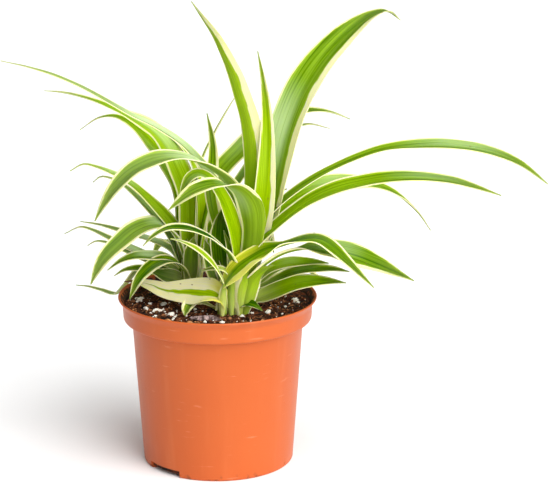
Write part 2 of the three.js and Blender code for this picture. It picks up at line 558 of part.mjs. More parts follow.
function soil(standing, lying) {
  const neck = BAND_RADIUS - WALL - GAP;
  const foot = FLOOR + GAP;
  const slope = (BODY_TOP_RADIUS - BASE_RADIUS) / BAND_FOOT;
  const profile = [
    [0, foot],
    [BASE_RADIUS - WALL - GAP + slope * foot, foot],
    [BODY_TOP_RADIUS - WALL - GAP, LEDGE_TOP + GAP],
    [neck - 1.2, LEDGE_TOP + GAP + 0.2],
    [neck - 0.5, LEDGE_TOP + GAP + 1.2],
    [neck - 0.1, SOIL_EDGE],
  ];
  for (let i = 1; i <= SOIL_RINGS; i += 1) {
    const share = 1 - i / SOIL_RINGS;
    profile.push([(neck - 0.1) * share, SOIL_EDGE + (SOIL_MIDDLE - SOIL_EDGE) * smooth((1 - share) * 2.2)]);
  }
  const geometry = turned(profile, SOIL_SIDES);
  const position = geometry.attributes.position;
  for (let i = 0; i < position.count; i += 1) {
    const [x, y, z] = [position.getX(i), position.getY(i), position.getZ(i)];
    const inside = smooth((neck - 0.1 - Math.hypot(x, y)) / RIM_CALM);
    if (z >= SOIL_EDGE) position.setZ(i, z + inside * crumbs(x, y));
  }
  const roofs = NOTCH_DIRECTIONS.map((direction) => notchRoof(direction, 2 * GAP));
  const holes = [...standing, ...lying, ...roofs];
  return mainBody(holes.reduce((body, hole) => body.subtract(hole), solid(geometry)));
}

// Perlite grains on the soil: [x, y, length, width, height, turn]
const GRAINS = [
  [-36, -22.5, 6.2, 4.6, 3.6, 20],
  [-32, -8.5, 4.2, 3.8, 3.4, 70],
  [-46.5, 2.5, 4.6, 3.2, 2.8, 35],
  [-27.5, -29, 4.4, 3, 2.8, 10],
  [46.5, -1.5, 4.4, 3.4, 3, 15],
  [30, -24.5, 3.6, 2.8, 2.6, 60],
  [-42.5, -16.5, 3.8, 2.6, 2.6, 110],
  [14.5, -34.5, 4, 2.8, 2.6, 140],
  [24, 34, 4.6, 3.6, 3.2, 80],
  [-8, 42, 4, 3.4, 3, 30],
];

// A dried piece of the old rootstock lies on the soil in front of the shoots
const ROOTSTOCK = { at: [-6.5, -38.2, 99.1], size: [19, 5.4, 4.2], turn: -9 };

const stems = [MAIN_STEM, FRONT_STEM, RIGHT_STEM, LEFT_STEM];
const grainSolid = ([x, y, ...rest], grow) => lump([x, y, GRAIN_HEIGHT], rest.slice(0, 3), rest[3], grow, 0);
const rootstockSolid = (grow) => lump(ROOTSTOCK.at, ROOTSTOCK.size, ROOTSTOCK.turn, grow, 1);
const standing = stems.map((one) => stem(one, GAP));
const lying = [...GRAINS.map((grain) => grainSolid(grain, GAP)), rootstockSolid(GAP)];

const plant = new THREE.Group();
plant.add(
  meshOf('pot', pot(), terracotta),
  meshOf('soil', soil(standing, lying), peat),
  meshOf('main_shoot', shoot([MAIN_STEM, FRONT_STEM], MAIN_SHOOT), leafGreen),
  meshOf('left_shoot', shoot([LEFT_STEM], LEFT_SHOOT), leafGreen),
  meshOf('right_shoot', shoot([RIGHT_STEM], RIGHT_SHOOT), leafGreen),
  meshOf('old_rootstock', rootstockSolid(0), driedRoot),
);
GRAINS.forEach((grain, i) => plant.add(meshOf(`perlite_${i + 1}`, grainSolid(grain, 0), perliteWhite)));

export default plant;
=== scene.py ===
"""Looks of the potted spider plant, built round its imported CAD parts.

Lengths in the tables are millimetres, as in the CAD source; finished meshes are in metres.
+X is to the right, -Y to the front, +Z up, and the origin is the middle of the pot's underside.
"""

import math
import random

import bmesh
import bpy
from mathutils import Matrix, Vector, noise


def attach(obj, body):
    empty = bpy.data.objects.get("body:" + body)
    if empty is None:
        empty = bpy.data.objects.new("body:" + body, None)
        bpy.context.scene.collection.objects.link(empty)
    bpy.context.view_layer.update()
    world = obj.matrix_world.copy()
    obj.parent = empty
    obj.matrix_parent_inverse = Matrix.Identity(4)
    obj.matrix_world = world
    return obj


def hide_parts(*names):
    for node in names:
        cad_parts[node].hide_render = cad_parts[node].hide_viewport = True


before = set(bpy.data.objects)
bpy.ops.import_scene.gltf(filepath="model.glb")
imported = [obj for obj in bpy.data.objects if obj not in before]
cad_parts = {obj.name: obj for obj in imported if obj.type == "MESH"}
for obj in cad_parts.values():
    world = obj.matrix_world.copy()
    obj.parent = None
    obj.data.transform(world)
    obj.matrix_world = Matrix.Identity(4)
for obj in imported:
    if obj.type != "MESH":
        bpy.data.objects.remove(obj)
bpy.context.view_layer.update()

MM = 0.001
UP = Vector((0, 0, 1))
EYE = Vector((0, -1341.6, 503))


def smooth(x):
    x = min(max(x, 0), 1)
    return x * x * (3 - 2 * x)


def blend(low, high, share):
    return low + (high - low) * share


# Materials ---------------------------------------------------------------------------------------


class Value:
    """A socket in a material, with the arithmetic of the Math node."""

    def __init__(self, graph, socket):
        self.graph = graph
        self.socket = socket

    def __add__(self, other):
        return self.graph.math("ADD", self, other)

    def __sub__(self, other):
        return self.graph.math("SUBTRACT", self, other)

    def __rsub__(self, other):
        return self.graph.math("SUBTRACT", other, self)

    def __mul__(self, other):
        return self.graph.math("MULTIPLY", self, other)

    def __truediv__(self, other):
        return self.graph.math("DIVIDE", self, other)

    __radd__ = __add__
    __rmul__ = __mul__


class Graph:
    """The nodes of one material."""

    def __init__(self, name):
        self.material = bpy.data.materials.new(name)
        self.material.use_nodes = True
        self.tree = self.material.node_tree
        self.shader = self.tree.nodes["Principled BSDF"]

    def node(self, kind, settings=None, inputs=None):
        node = self.tree.nodes.new(kind)
        for key, value in (settings or {}).items():
            setattr(node, key, value)
        for key, value in (inputs or {}).items():
            self.put(node.inputs[key], value)
        return node

    def put(self, socket, value):
        if isinstance(value, Value):
            self.tree.links.new(value.socket, socket)
        else:
            socket.default_value = value

    def out(self, node, key=0):
        return Value(self, node.outputs[key])

    def math(self, operation, *values, clamp=False):
        settings = {"operation": operation, "use_clamp": clamp}
        return self.out(self.node("ShaderNodeMath", settings, dict(enumerate(values))))

    def highest(self, first, second):
        return self.math("MAXIMUM", first, second)

    def size(self, value):
        return self.math("ABSOLUTE", value)

    def smooth(self, value, low, high):
        """0 at low and 1 at high, with a soft step between them; low may be the larger"""
        inputs = {"Value": value, "From Min": low, "From Max": high}
        return self.out(self.node("ShaderNodeMapRange", {"interpolation_type": "SMOOTHSTEP"}, inputs))

    def clamped(self, value):
        return self.math("ADD", value, 0, clamp=True)

    def mix(self, factor, first, second):
        settings = {"data_type": "RGBA", "clamp_factor": True}
        first, second = [(*c, 1) if isinstance(c, tuple) else c for c in (first, second)]
        return self.out(self.node("ShaderNodeMix", settings, {0: factor, 6: first, 7: second}), 2)

    def place(self):
        return self.out(self.node("ShaderNodeTexCoord"), "Object")

    def point(self, x, y, z):
        return self.out(self.node("ShaderNodeCombineXYZ", None, {0: x, 1: y, 2: z}))

    def split(self, vector):
        node = self.node("ShaderNodeSeparateXYZ", None, {0: vector})
        return [self.out(node, i) for i in range(3)]

    def stretched(self, vector, x, y, z):
        settings = {"operation": "MULTIPLY"}
        return self.out(self.node("ShaderNodeVectorMath", settings, {0: vector, 1: (x, y, z)}))

    def noise(self, vector, scale, detail=2, roughness=0.5):
        inputs = {"Vector": vector, "Scale": scale, "Detail": detail, "Roughness": roughness}
        return self.out(self.node("ShaderNodeTexNoise", None, inputs))

    def cells(self, vector, scale):
        """Distance to the nearest of scattered points, and that point's own random colour"""
        node = self.node("ShaderNodeTexVoronoi", None, {"Vector": vector, "Scale": scale})
        return self.out(node, "Distance"), self.split(self.out(node, "Color"))[0]

    def attribute(self, name):
        node = self.node("ShaderNodeAttribute", {"attribute_name": name})
        return [*self.split(self.out(node, "Color")), self.out(node, "Alpha")]

    def bump(self, height, distance, strength=1.0):
        inputs = {"Height": height, "Distance": distance, "Strength": strength}
        self.put(self.shader.inputs["Normal"], self.out(self.node("ShaderNodeBump", None, inputs)))

    def surface(self, **values):
        """Sets the shader's own sockets, named in lower case, and hands the material over"""
        for key, value in values.items():
            if isinstance(value, tuple) and len(value) == 3 and "radius" not in key:
                value = (*value, 1)
            name = key.replace("_", " ").title().replace("Ior", "IOR")
            self.put(self.shader.inputs[name], value)
        return self.material


def leaf_material():
    """Green with cream margins and fine veins along the blade, with painted shade and light in the green
    and a painted greyish sheen, read from the blades' own attributes
    """
    g = Graph("spider_plant_leaf")
    across, along, half, under = g.attribute("place")
    cream_plus, cream_minus, tone_and_shade, share = g.attribute("look")
    dry, painted_sheen, pale, seed = g.attribute("wear_and_sheen")
    yellow, yellow_at, spots, painted_sheen_at = g.attribute("marks_and_sheen")
    veins = g.noise(g.point(across * 1.9, along * 0.022, seed * 41), 1, 3)
    bands = g.noise(g.point(across * 0.55, along * 0.009, seed * 67), 1, 2)
    drift = g.noise(g.point(along * 0.045, seed * 31, 0), 1, 2) - 0.5
    lines = veins - 0.5

    # Green, lighter beside the cream and on the midrib
    plus = cream_plus * (1 + drift * 1.1) - (half - across)
    minus = cream_minus * (1 - drift * 1.1) - (half + across)
    ragged = lines * 1.4
    cream = g.highest(g.smooth(plus + ragged, -0.15, 0.3), g.smooth(minus + ragged, -0.15, 0.3))
    halo = g.highest(g.smooth(plus + lines * 2, -1.5, 0.2), g.smooth(minus + lines * 2, -1.5, 0.2))
    far = g.smooth(share, 0.5, 1)
    # How bright the green is: the leaf's own tone together with painted shade and painted light, set
    # leaf by leaf
    light = g.clamped(tone_and_shade * (1 - far * 0.75) + (bands - 0.5) * 0.8 + lines * 0.8)
    green = g.mix(light, (0.025, 0.095, 0.0), (0.37, 0.56, 0.0))
    green = g.mix(halo * 0.4 * g.smooth(tone_and_shade, -0.3, 0.5), green, (0.5, 0.62, 0.02))
    midrib = g.smooth(g.size(across), 0.75, 0.15)
    green = g.mix(midrib * 0.3, green, (0.2, 0.36, 0.0))
    # Strong painted sheen also dulls the green towards a painted grey reflection
    green = g.mix(g.smooth(painted_sheen, 1, 1.3) * 0.6, green, (0.29, 0.36, 0.14))
    white = g.mix(g.smooth(veins, 0.35, 0.65), (0.88, 0.86, 0.4), (0.86, 0.83, 0.52))
    colour = g.mix(cream, green, white)

    # Yellowed stretch and pale root
    outward = g.size(across) / half
    flush = yellow * g.smooth(g.size(share - yellow_at), 0.2, 0.05) * g.smooth(outward, 0.25, 0.5)
    colour = g.mix(flush * g.smooth(veins + cream * 0.3, 0.3, 0.6), colour, (0.68, 0.66, 0.03))
    colour = g.mix(pale * g.smooth(along + lines * 12, 30, 4), colour, (0.7, 0.76, 0.25))

    # Painted sheen, a greyish painted reflection, on one half of the blade: the plus half, or the minus
    # half where its given place along the blade is 1 more
    minus_side = g.math("GREATER_THAN", painted_sheen_at, 1)
    painted_sheen_half = g.smooth(across / half * (1 - minus_side * 2), -0.4, 0.3)
    painted_sheen_patch = g.smooth(g.size(share - painted_sheen_at + minus_side), 0.17, 0.02)
    painted_sheen_patch = painted_sheen_patch * g.smooth(veins, 0.15, 0.5) * painted_sheen_half
    painted_sheen_mix = painted_sheen * (g.smooth(veins + bands, 0.8, 1.2) * 0.05 + painted_sheen_patch * 0.8)
    colour = g.mix(painted_sheen_mix, colour, (0.48, 0.61, 0.31))

    # Darker tip, duller underside, brown specks and a withered end
    tip = g.smooth(share + lines * 0.05, 0.72, 1)
    colour = g.mix(tip * 0.6, colour, (0.13, 0.17, 0.03))
    colour = g.mix(under * (1 - cream) * 0.3, colour, (0.25, 0.34, 0.03))
    spot, chance = g.cells(g.point(across * 0.45, along * 0.2, seed * 90), 1)
    speck = g.smooth(spot, 0.2, 0.1) * g.smooth(chance + spots * 0.2, 0.96, 0.98)
    withered = g.smooth(share + lines * 0.05 + dry, 1.0, 1.03)
    colour = g.mix(speck * 0.8, colour, (0.2, 0.11, 0.04))
    colour = g.mix(withered, colour, (0.17, 0.1, 0.05))

    height = veins + g.noise(g.point(across * 6, along * 0.5, seed * 13), 1, 1) * 0.3 - midrib * 0.3
    g.bump(height, 0.00035, 0.6)
    rough = 0.42 + lines * 0.25 + under * 0.15 + withered * 0.3
    return g.surface(base_color=colour, roughness=g.clamped(rough), specular_ior_level=0.07,
                     specular_tint=(0.85, 1, 0.1), subsurface_weight=0.4,
                     subsurface_radius=(0.7, 1, 0.1), subsurface_scale=0.002)


def pot_material():
    """Satin terracotta-coloured plastic with faint flow lines, scuffs and specks of soil"""
    g = Graph("terracotta_plastic")
    place = g.place()
    x, y, z = g.split(place)
    cloud = g.noise(place, 22, 3)
    flow = g.noise(g.stretched(place, 90, 90, 7), 1, 3)
    grain = g.noise(place, 1500, 2)
    colour = g.mix(cloud, (0.485, 0.089, 0.0155), (0.54, 0.111, 0.0212))
    colour = g.mix(g.smooth(flow, 0.5, 0.75) * 0.18, colour, (0.68, 0.2, 0.07))
    scuff = g.smooth(g.noise(g.stretched(place, 60, 60, 420), 1, 4), 0.66, 0.74)
    colour = g.mix(scuff * 0.25, colour, (0.75, 0.32, 0.18))
    # Soil sticks to the inside of the band, below the lip's edge, and a little at the foot
    reach = g.math("SQRT", x * x + y * y)
    skin = g.highest(z - 0.098, 0) * 0.6 + 0.0567
    height = g.smooth(z, 0.0915, 0.0945) * g.smooth(z, 0.1029, 0.1015)
    soiled = g.highest(height * g.smooth(skin - reach, -0.0002, 0.0003), g.smooth(z, 0.006, 0.001) * 0.5)
    dirt = g.smooth(g.noise(place, 260, 4) + (soiled - 1) * 0.35, 0.3, 0.5)
    colour = g.mix(dirt * soiled, colour, (0.055, 0.028, 0.016))
    speck, chance = g.cells(place, 330)
    dust = g.smooth(speck, 0.12, 0.06) * g.smooth(chance, 0.9, 0.93)
    colour = g.mix(dust * 0.35, colour, (0.3, 0.16, 0.1))
    g.bump(grain * 0.25 + flow * 0.6 + cloud + dirt * 0.8, 0.00022, 0.7)
    rough = 0.4 + (cloud - 0.5) * 0.2 + scuff * 0.12 + dirt * 0.3 + (grain - 0.5) * 0.12
    return g.surface(base_color=colour, roughness=g.clamped(rough), specular_ior_level=0.28)


def peat_material():
    """Moist dark peat with lighter fibrous bits"""
    g = Graph("potting_peat")
    place = g.place()
    tint = g.attribute("tint")[0]
    clod = g.noise(place, 190, 4, 0.62)
    bits, chance = g.cells(place, 620)
    colour = g.mix(g.smooth(clod, 0.35, 0.7), (0.007, 0.0024, 0.0015), (0.15, 0.038, 0.011))
    colour = g.mix(g.smooth(bits, 0.45, 0.2) * g.smooth(chance, 0.74, 0.8), colour, (0.42, 0.15, 0.05))
    colour = g.mix(g.smooth(chance, 0.1, 0.04) * 0.8, colour, (0.006, 0.004, 0.004))
    colour = g.mix(tint * g.smooth(clod, 0.3, 0.6), colour, (0.58, 0.26, 0.11))
    g.bump(clod + bits * 0.6, 0.0012)
    return g.surface(base_color=colour, roughness=g.clamped(0.8 + (clod - 0.5) * 0.5),
                     specular_ior_level=0.2)


def perlite_material():
    """Chalky white grains with pits and a few brown stains"""
    g = Graph("perlite_grain")
    place = g.place()
    pits, chance = g.cells(place, 1900)
    stain = g.noise(place, 420, 3)
    colour = g.mix(g.smooth(stain, 0.55, 0.8), (0.97, 0.93, 0.83), (0.75, 0.5, 0.34))
    colour = g.mix(g.smooth(pits, 0.2, 0.05) * 0.4, colour, (0.7, 0.6, 0.52))
    g.bump(pits + stain * 0.5, 0.0004)
    return g.surface(base_color=colour, roughness=g.clamped(0.8 + (chance - 0.5) * 0.2))


def rootstock_material():
    """Dried pinkish root with papery rings"""
    g = Graph("dried_rootstock")
    place = g.place()
    rings = g.noise(g.stretched(place, 500, 160, 160), 1, 4, 0.6)
    fibres = g.noise(place, 700, 3)
    colour = g.mix(g.smooth(rings, 0.35, 0.65), (0.07, 0.04, 0.035), (0.5, 0.36, 0.34))
    colour = g.mix(g.smooth(fibres, 0.52, 0.68) * 0.8, colour, (0.05, 0.028, 0.02))
    g.bump(rings + fibres * 0.5, 0.0006)
    return g.surface(base_color=colour, roughness=g.clamped(0.7 + (fibres - 0.5) * 0.4))


def floor_material():
    """Plain matt white"""
    g = Graph("white_floor")
    mottle = g.noise(g.place(), 3, 2)
    colour = g.mix(mottle, (0.96, 0.96, 0.96), (0.98, 0.98, 0.98))
    return g.surface(base_color=colour, roughness=0.9)


# Building helpers --------------------------------------------------------------------------------


def added(name, data):
    thing = bpy.data.objects.new(name, data)
    bpy.context.scene.collection.objects.link(thing)
    return thing


def piece(bm, name, material, replaces=(), crease=40, stage=False):
    """Turns a mesh in metres into a finished object"""
    mesh = bpy.data.meshes.new(name)
    bm.to_mesh(mesh)
    bm.free()
    mesh.materials.append(material)
    mesh.polygons.foreach_set("use_smooth", [True] * len(mesh.polygons))
    mesh.set_sharp_from_angle(angle=math.radians(crease))
    thing = added(name, mesh)
    if stage:
        return thing
    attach(thing, "root")
    if replaces:
        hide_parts(*replaces)
    return thing


def spun(bm, profile, steps):
    """Adds a profile of (radius, height) turned about the upright axis, closed and facing outwards"""
    verts = [bm.verts.new((radius, 0, height)) for radius, height in profile]
    edges = [bm.edges.new(pair) for pair in zip(verts, verts[1:])]
    bmesh.ops.spin(bm, geom=verts + edges, cent=(0, 0, 0), axis=UP, angle=math.tau, steps=steps,
                   use_merge=True, use_duplicate=False)
    bmesh.ops.remove_doubles(bm, verts=bm.verts, dist=1e-4)
    bmesh.ops.recalc_face_normals(bm, faces=bm.faces)


def rounded(profile, radius, steps=3):
    """The same profile with each inner corner cut to a small arc"""
    points = [Vector(point) for point in profile]
    out = [points[0]]
    for before, corner, after in zip(points, points[1:], points[2:]):
        reach = min(radius, (before - corner).length * 0.45, (after - corner).length * 0.45)
        start = corner + (before - corner).normalized() * reach
        end = corner + (after - corner).normalized() * reach
        for i in range(steps + 1):
            t = i / steps
            out.append(start * (1 - t) ** 2 + corner * 2 * t * (1 - t) + end * t * t)
    return [tuple(point) for point in [*out, points[-1]]]


def to_metres(bm):
    bmesh.ops.scale(bm, vec=(MM, MM, MM), verts=bm.verts)


# Leaves ------------------------------------------------------------------------------------------
# A path point is (across, up, behind): a place on the upright plane through the pot's axis as the
# eye sees it, and how far behind that place the leaf lies along the line of sight.
BLADE_THICKNESS = 0.45
ROOT_SHARE = 0.62
TIP_WIDTH = 0.35
ROOT_FOLD = 55
TIP_FOLD = 8
ROW_LENGTH = 2.3
FEWEST_ROWS = 14
MOST_ROWS = 100
BROAD_MARGIN = 5
CURVE_STEPS = 12
# Two of these layers also carry the painted sheen: how strong it is and where along the blade it lies
LAYERS = ("place", "look", "wear_and_sheen", "marks_and_sheen")


def seen(point):
    across, up, behind = point
    place = Vector((across, 0, up))
    return place + (place - EYE).normalized() * behind


def centre_line(path, steps):
    """Points evenly spaced along a centripetal Catmull-Rom curve through the path, and its length"""
    knots = [seen(point) for point in path]
    knots = [knots[0] * 2 - knots[1], *knots, knots[-1] * 2 - knots[-2]]
    fine = []
    for p0, p1, p2, p3 in zip(knots, knots[1:], knots[2:], knots[3:]):
        t1 = (p1 - p0).length ** 0.5
        t2 = t1 + (p2 - p1).length ** 0.5
        t3 = t2 + (p3 - p2).length ** 0.5
        for i in range(CURVE_STEPS):
            t = t1 + (t2 - t1) * i / CURVE_STEPS
            a1 = p0.lerp(p1, t / t1)
            a2 = p1.lerp(p2, (t - t1) / (t2 - t1))
            a3 = p2.lerp(p3, (t - t2) / (t3 - t2))
            b1 = a1.lerp(a2, t / t2)
            b2 = a2.lerp(a3, (t - t1) / (t3 - t1))
            fine.append(b1.lerp(b2, (t - t1) / (t2 - t1)))
    fine.append(knots[-2])
    lengths = [0]
    for a, b in zip(fine, fine[1:]):
        lengths.append(lengths[-1] + (b - a).length)
    points = []
    k = 0
    for i in range(steps + 1):
        at = lengths[-1] * i / steps
        while k < len(fine) - 2 and lengths[k + 1] < at:
            k += 1
        points.append(fine[k].lerp(fine[k + 1], (at - lengths[k]) / (lengths[k + 1] - lengths[k])))
    return points, lengths[-1]


def leaf(width, tilt, belly, taper, path, heading=None, *, cream, tone_and_shade, painted_sheen, pale=0.6, bare=0, slim=9,
         dry=0, yellow=0, yellow_at=0.3, spots=0, painted_sheen_at=0.6, fold=14, round_back=0.16):
    """A row of the tables of leaves.

    Form. path: from root to tip. tilt: degrees that the blade turns its face to the front, at even
    steps from root to tip. belly: where along the leaf it is widest. taper: how long it stays wide
    towards the tip. heading: the direction it grows in, seen from above, where its path doesn't give
    it. fold: how far each half is raised. round_back: radius of the gutter's bottom.

    Looks. cream: widths of the two margins; the first starts at the share bare of the length, and
    the second narrows past the share slim. tone_and_shade: dark to bright green, the leaf's own tone
    together with painted shade and painted light. painted_sheen: a painted greyish sheen, a painted
    reflection strongest round the share painted_sheen_at on the first margin's half, or on the
    second margin's where painted_sheen_at is 1 more; above 1 it dulls the green too. pale: whitish
    root. dry: withered share at the tip. yellow: yellowing round the share yellow_at. spots: more
    brown specks.
    """
    return dict(width=width, tilt=tilt, belly=belly, taper=taper, path=path, heading=heading,
                fold=fold, round_back=round_back, cream=cream, bare=bare, slim=slim, tone_and_shade=tone_and_shade,
                wear_and_sheen=(dry, painted_sheen, pale), marks_and_sheen=(yellow, yellow_at, spots, painted_sheen_at))


def width_at(blade, share):
    if share < blade["belly"]:
        return blade["width"] * blend(ROOT_SHARE, 1, smooth(share / blade["belly"]))
    past = (share - blade["belly"]) / (1 - blade["belly"])
    return max(blade["width"] * (1 - past ** blade["taper"]), TIP_WIDTH)


def tilt_at(tilt, share):
    step = share * (len(tilt) - 1)
    i = min(int(step), len(tilt) - 2)
    return math.radians(blend(tilt[i], tilt[i + 1], smooth(step - i)))


def sections_of(blade, centres):
    """The cross-sections of a leaf, root to tip: share, centre, across the blade, up from its face"""
    last = len(centres) - 1
    heading = (centres[-1] - centres[0]) * Vector((1, 1, 0))
    if blade["heading"] is not None:
        heading = Matrix.Rotation(math.radians(blade["heading"]), 3, "Z") @ Vector((1, 0, 0))
    heading.normalize()
    leftward = Vector((-heading.y, heading.x, 0))
    turn = 1 if heading.x >= 0 else -1
    sections = []
    for i, centre in enumerate(centres):
        share = i / last
        ahead = (centres[min(i + 1, last)] - centres[max(i - 1, 0)]).normalized()
        across = (leftward - ahead * leftward.dot(ahead)).normalized()
        spin = Matrix.Rotation(turn * tilt_at(blade["tilt"], share), 3, ahead)
        sections.append((share, centre, spin @ across, spin @ ahead.cross(across)))
    return sections


def margins_at(blade, share, half):
    """Widths of the cream on the two sides; a broad margin shrinks faster towards the tip"""
    narrowing = (2 * half / blade["width"]) ** 0.4
    margins = [min(width * narrowing, 0.45 * half) if width < BROAD_MARGIN else width * narrowing ** 2
               for width in blade["cream"]]
    margins[0] *= smooth((share - blade["bare"]) / 0.06 + 0.5) if blade["bare"] else 1
    margins[1] *= 1 - 0.7 * smooth((share - blade["slim"]) / 0.08 + 0.5)
    return margins


def grow(bm, blade, seed):
    """Adds one closed blade, in mm: a gutter with a rounded back, from a grid given thickness"""
    place, look, wear_and_sheen, marks_and_sheen = [bm.verts.layers.float_color[name] for name in LAYERS]
    phase = random.Random(seed).uniform(0, 6)
    length = centre_line(blade["path"], 8)[1]
    rows = min(max(round(length / ROW_LENGTH), FEWEST_ROWS), MOST_ROWS)
    columns = 10 if blade["width"] > 11 else 8 if blade["width"] > 6 else 6
    centres, length = centre_line(blade["path"], rows)
    sections = sections_of(blade, centres)
    soft = blade["round_back"]

    grid = bmesh.ops.create_grid(bm, x_segments=columns, y_segments=rows, size=0.5, calc_uvs=True)
    for vert in grid["verts"]:
        side = -2 * vert.co.x
        share, centre, across, upper = sections[round((vert.co.y + 0.5) * rows)]
        half = width_at(blade, share) / 2
        opening = (ROOT_FOLD - blade["fold"]) * (1 - smooth(share / 0.25))
        fold = math.radians(blade["fold"] + opening + TIP_FOLD * smooth((share - 0.7) / 0.3))
        rise = (math.hypot(side, soft) - soft) / (math.hypot(1, soft) - soft)
        waver = 0.018 * half * math.sin(length * share * 0.16 + phase + side) * abs(side)
        vert.co = (centre + across * (side * half * math.cos(fold))
                   + upper * (rise * half * math.sin(fold) + waver + BLADE_THICKNESS / 2))
        vert[place] = (side * half, length * share, half, 0)
        vert[look] = (*margins_at(blade, share, half), blade["tone_and_shade"], share)
        vert[wear_and_sheen] = (*blade["wear_and_sheen"], seed % 97 / 97)
        vert[marks_and_sheen] = blade["marks_and_sheen"]
    faces = list(dict.fromkeys(face for vert in grid["verts"] for face in vert.link_faces))
    for face in faces:
        face.normal_update()
    for vert in bmesh.ops.solidify(bm, geom=faces, thickness=BLADE_THICKNESS)["geom"]:
        if isinstance(vert, bmesh.types.BMVert):
            vert[place] = (*vert[place][:3], 1)


def stem(bm, x, y, lean, rings, seed):
    """Adds a closed, slanting, pleated stem in mm: the clasped leaf bases of a shoot"""
    part = bmesh.new()
    place, look, wear_and_sheen, _ = [part.verts.layers.float_color.new(name) for name in LAYERS]
    profile = [(0, rings[0][1]), *rings, (0, rings[-1][1])]
    spun(part, rounded(profile, 1.5, 2), 28)
    for vert in part.verts:
        turn = math.atan2(vert.co.y, vert.co.x)
        pleat = 1 + 0.07 * math.sin(3 * turn + seed) + 0.03 * math.sin(7 * turn + 2 * seed)
        rise = vert.co.z - SOIL_MIDDLE
        vert[place] = (turn * 5, rise + 20, 60, 0)
        vert[look] = (0, 0, 0.5, 0.1)
        vert[wear_and_sheen] = (0, 0.1, 0.7, seed / 9)
        vert.co = (x + vert.co.x * pleat + lean[0] * rise, y + vert.co.y * pleat + lean[1] * rise,
                   vert.co.z)
    spare = bpy.data.meshes.new("spare")
    part.to_mesh(spare)
    part.free()
    bm.from_mesh(spare)
    bpy.data.meshes.remove(spare)


def shoot(name, stems, leaves, material, seed):
    """One shoot: its stems with all their leaves; the blades' grids fill the UV map"""
    bm = bmesh.new()
    bm.loops.layers.uv.new("UVMap")
    for layer in LAYERS:
        bm.verts.layers.float_color.new(layer)
    for i, one in enumerate(stems):
        stem(bm, *one, seed + i)
    for i, blade in enumerate(leaves.values()):
        grow(bm, blade, seed * 31 + i * 7 + 5)
    to_metres(bm)
    piece(bm, name + "_leaves", material, [name], crease=70)
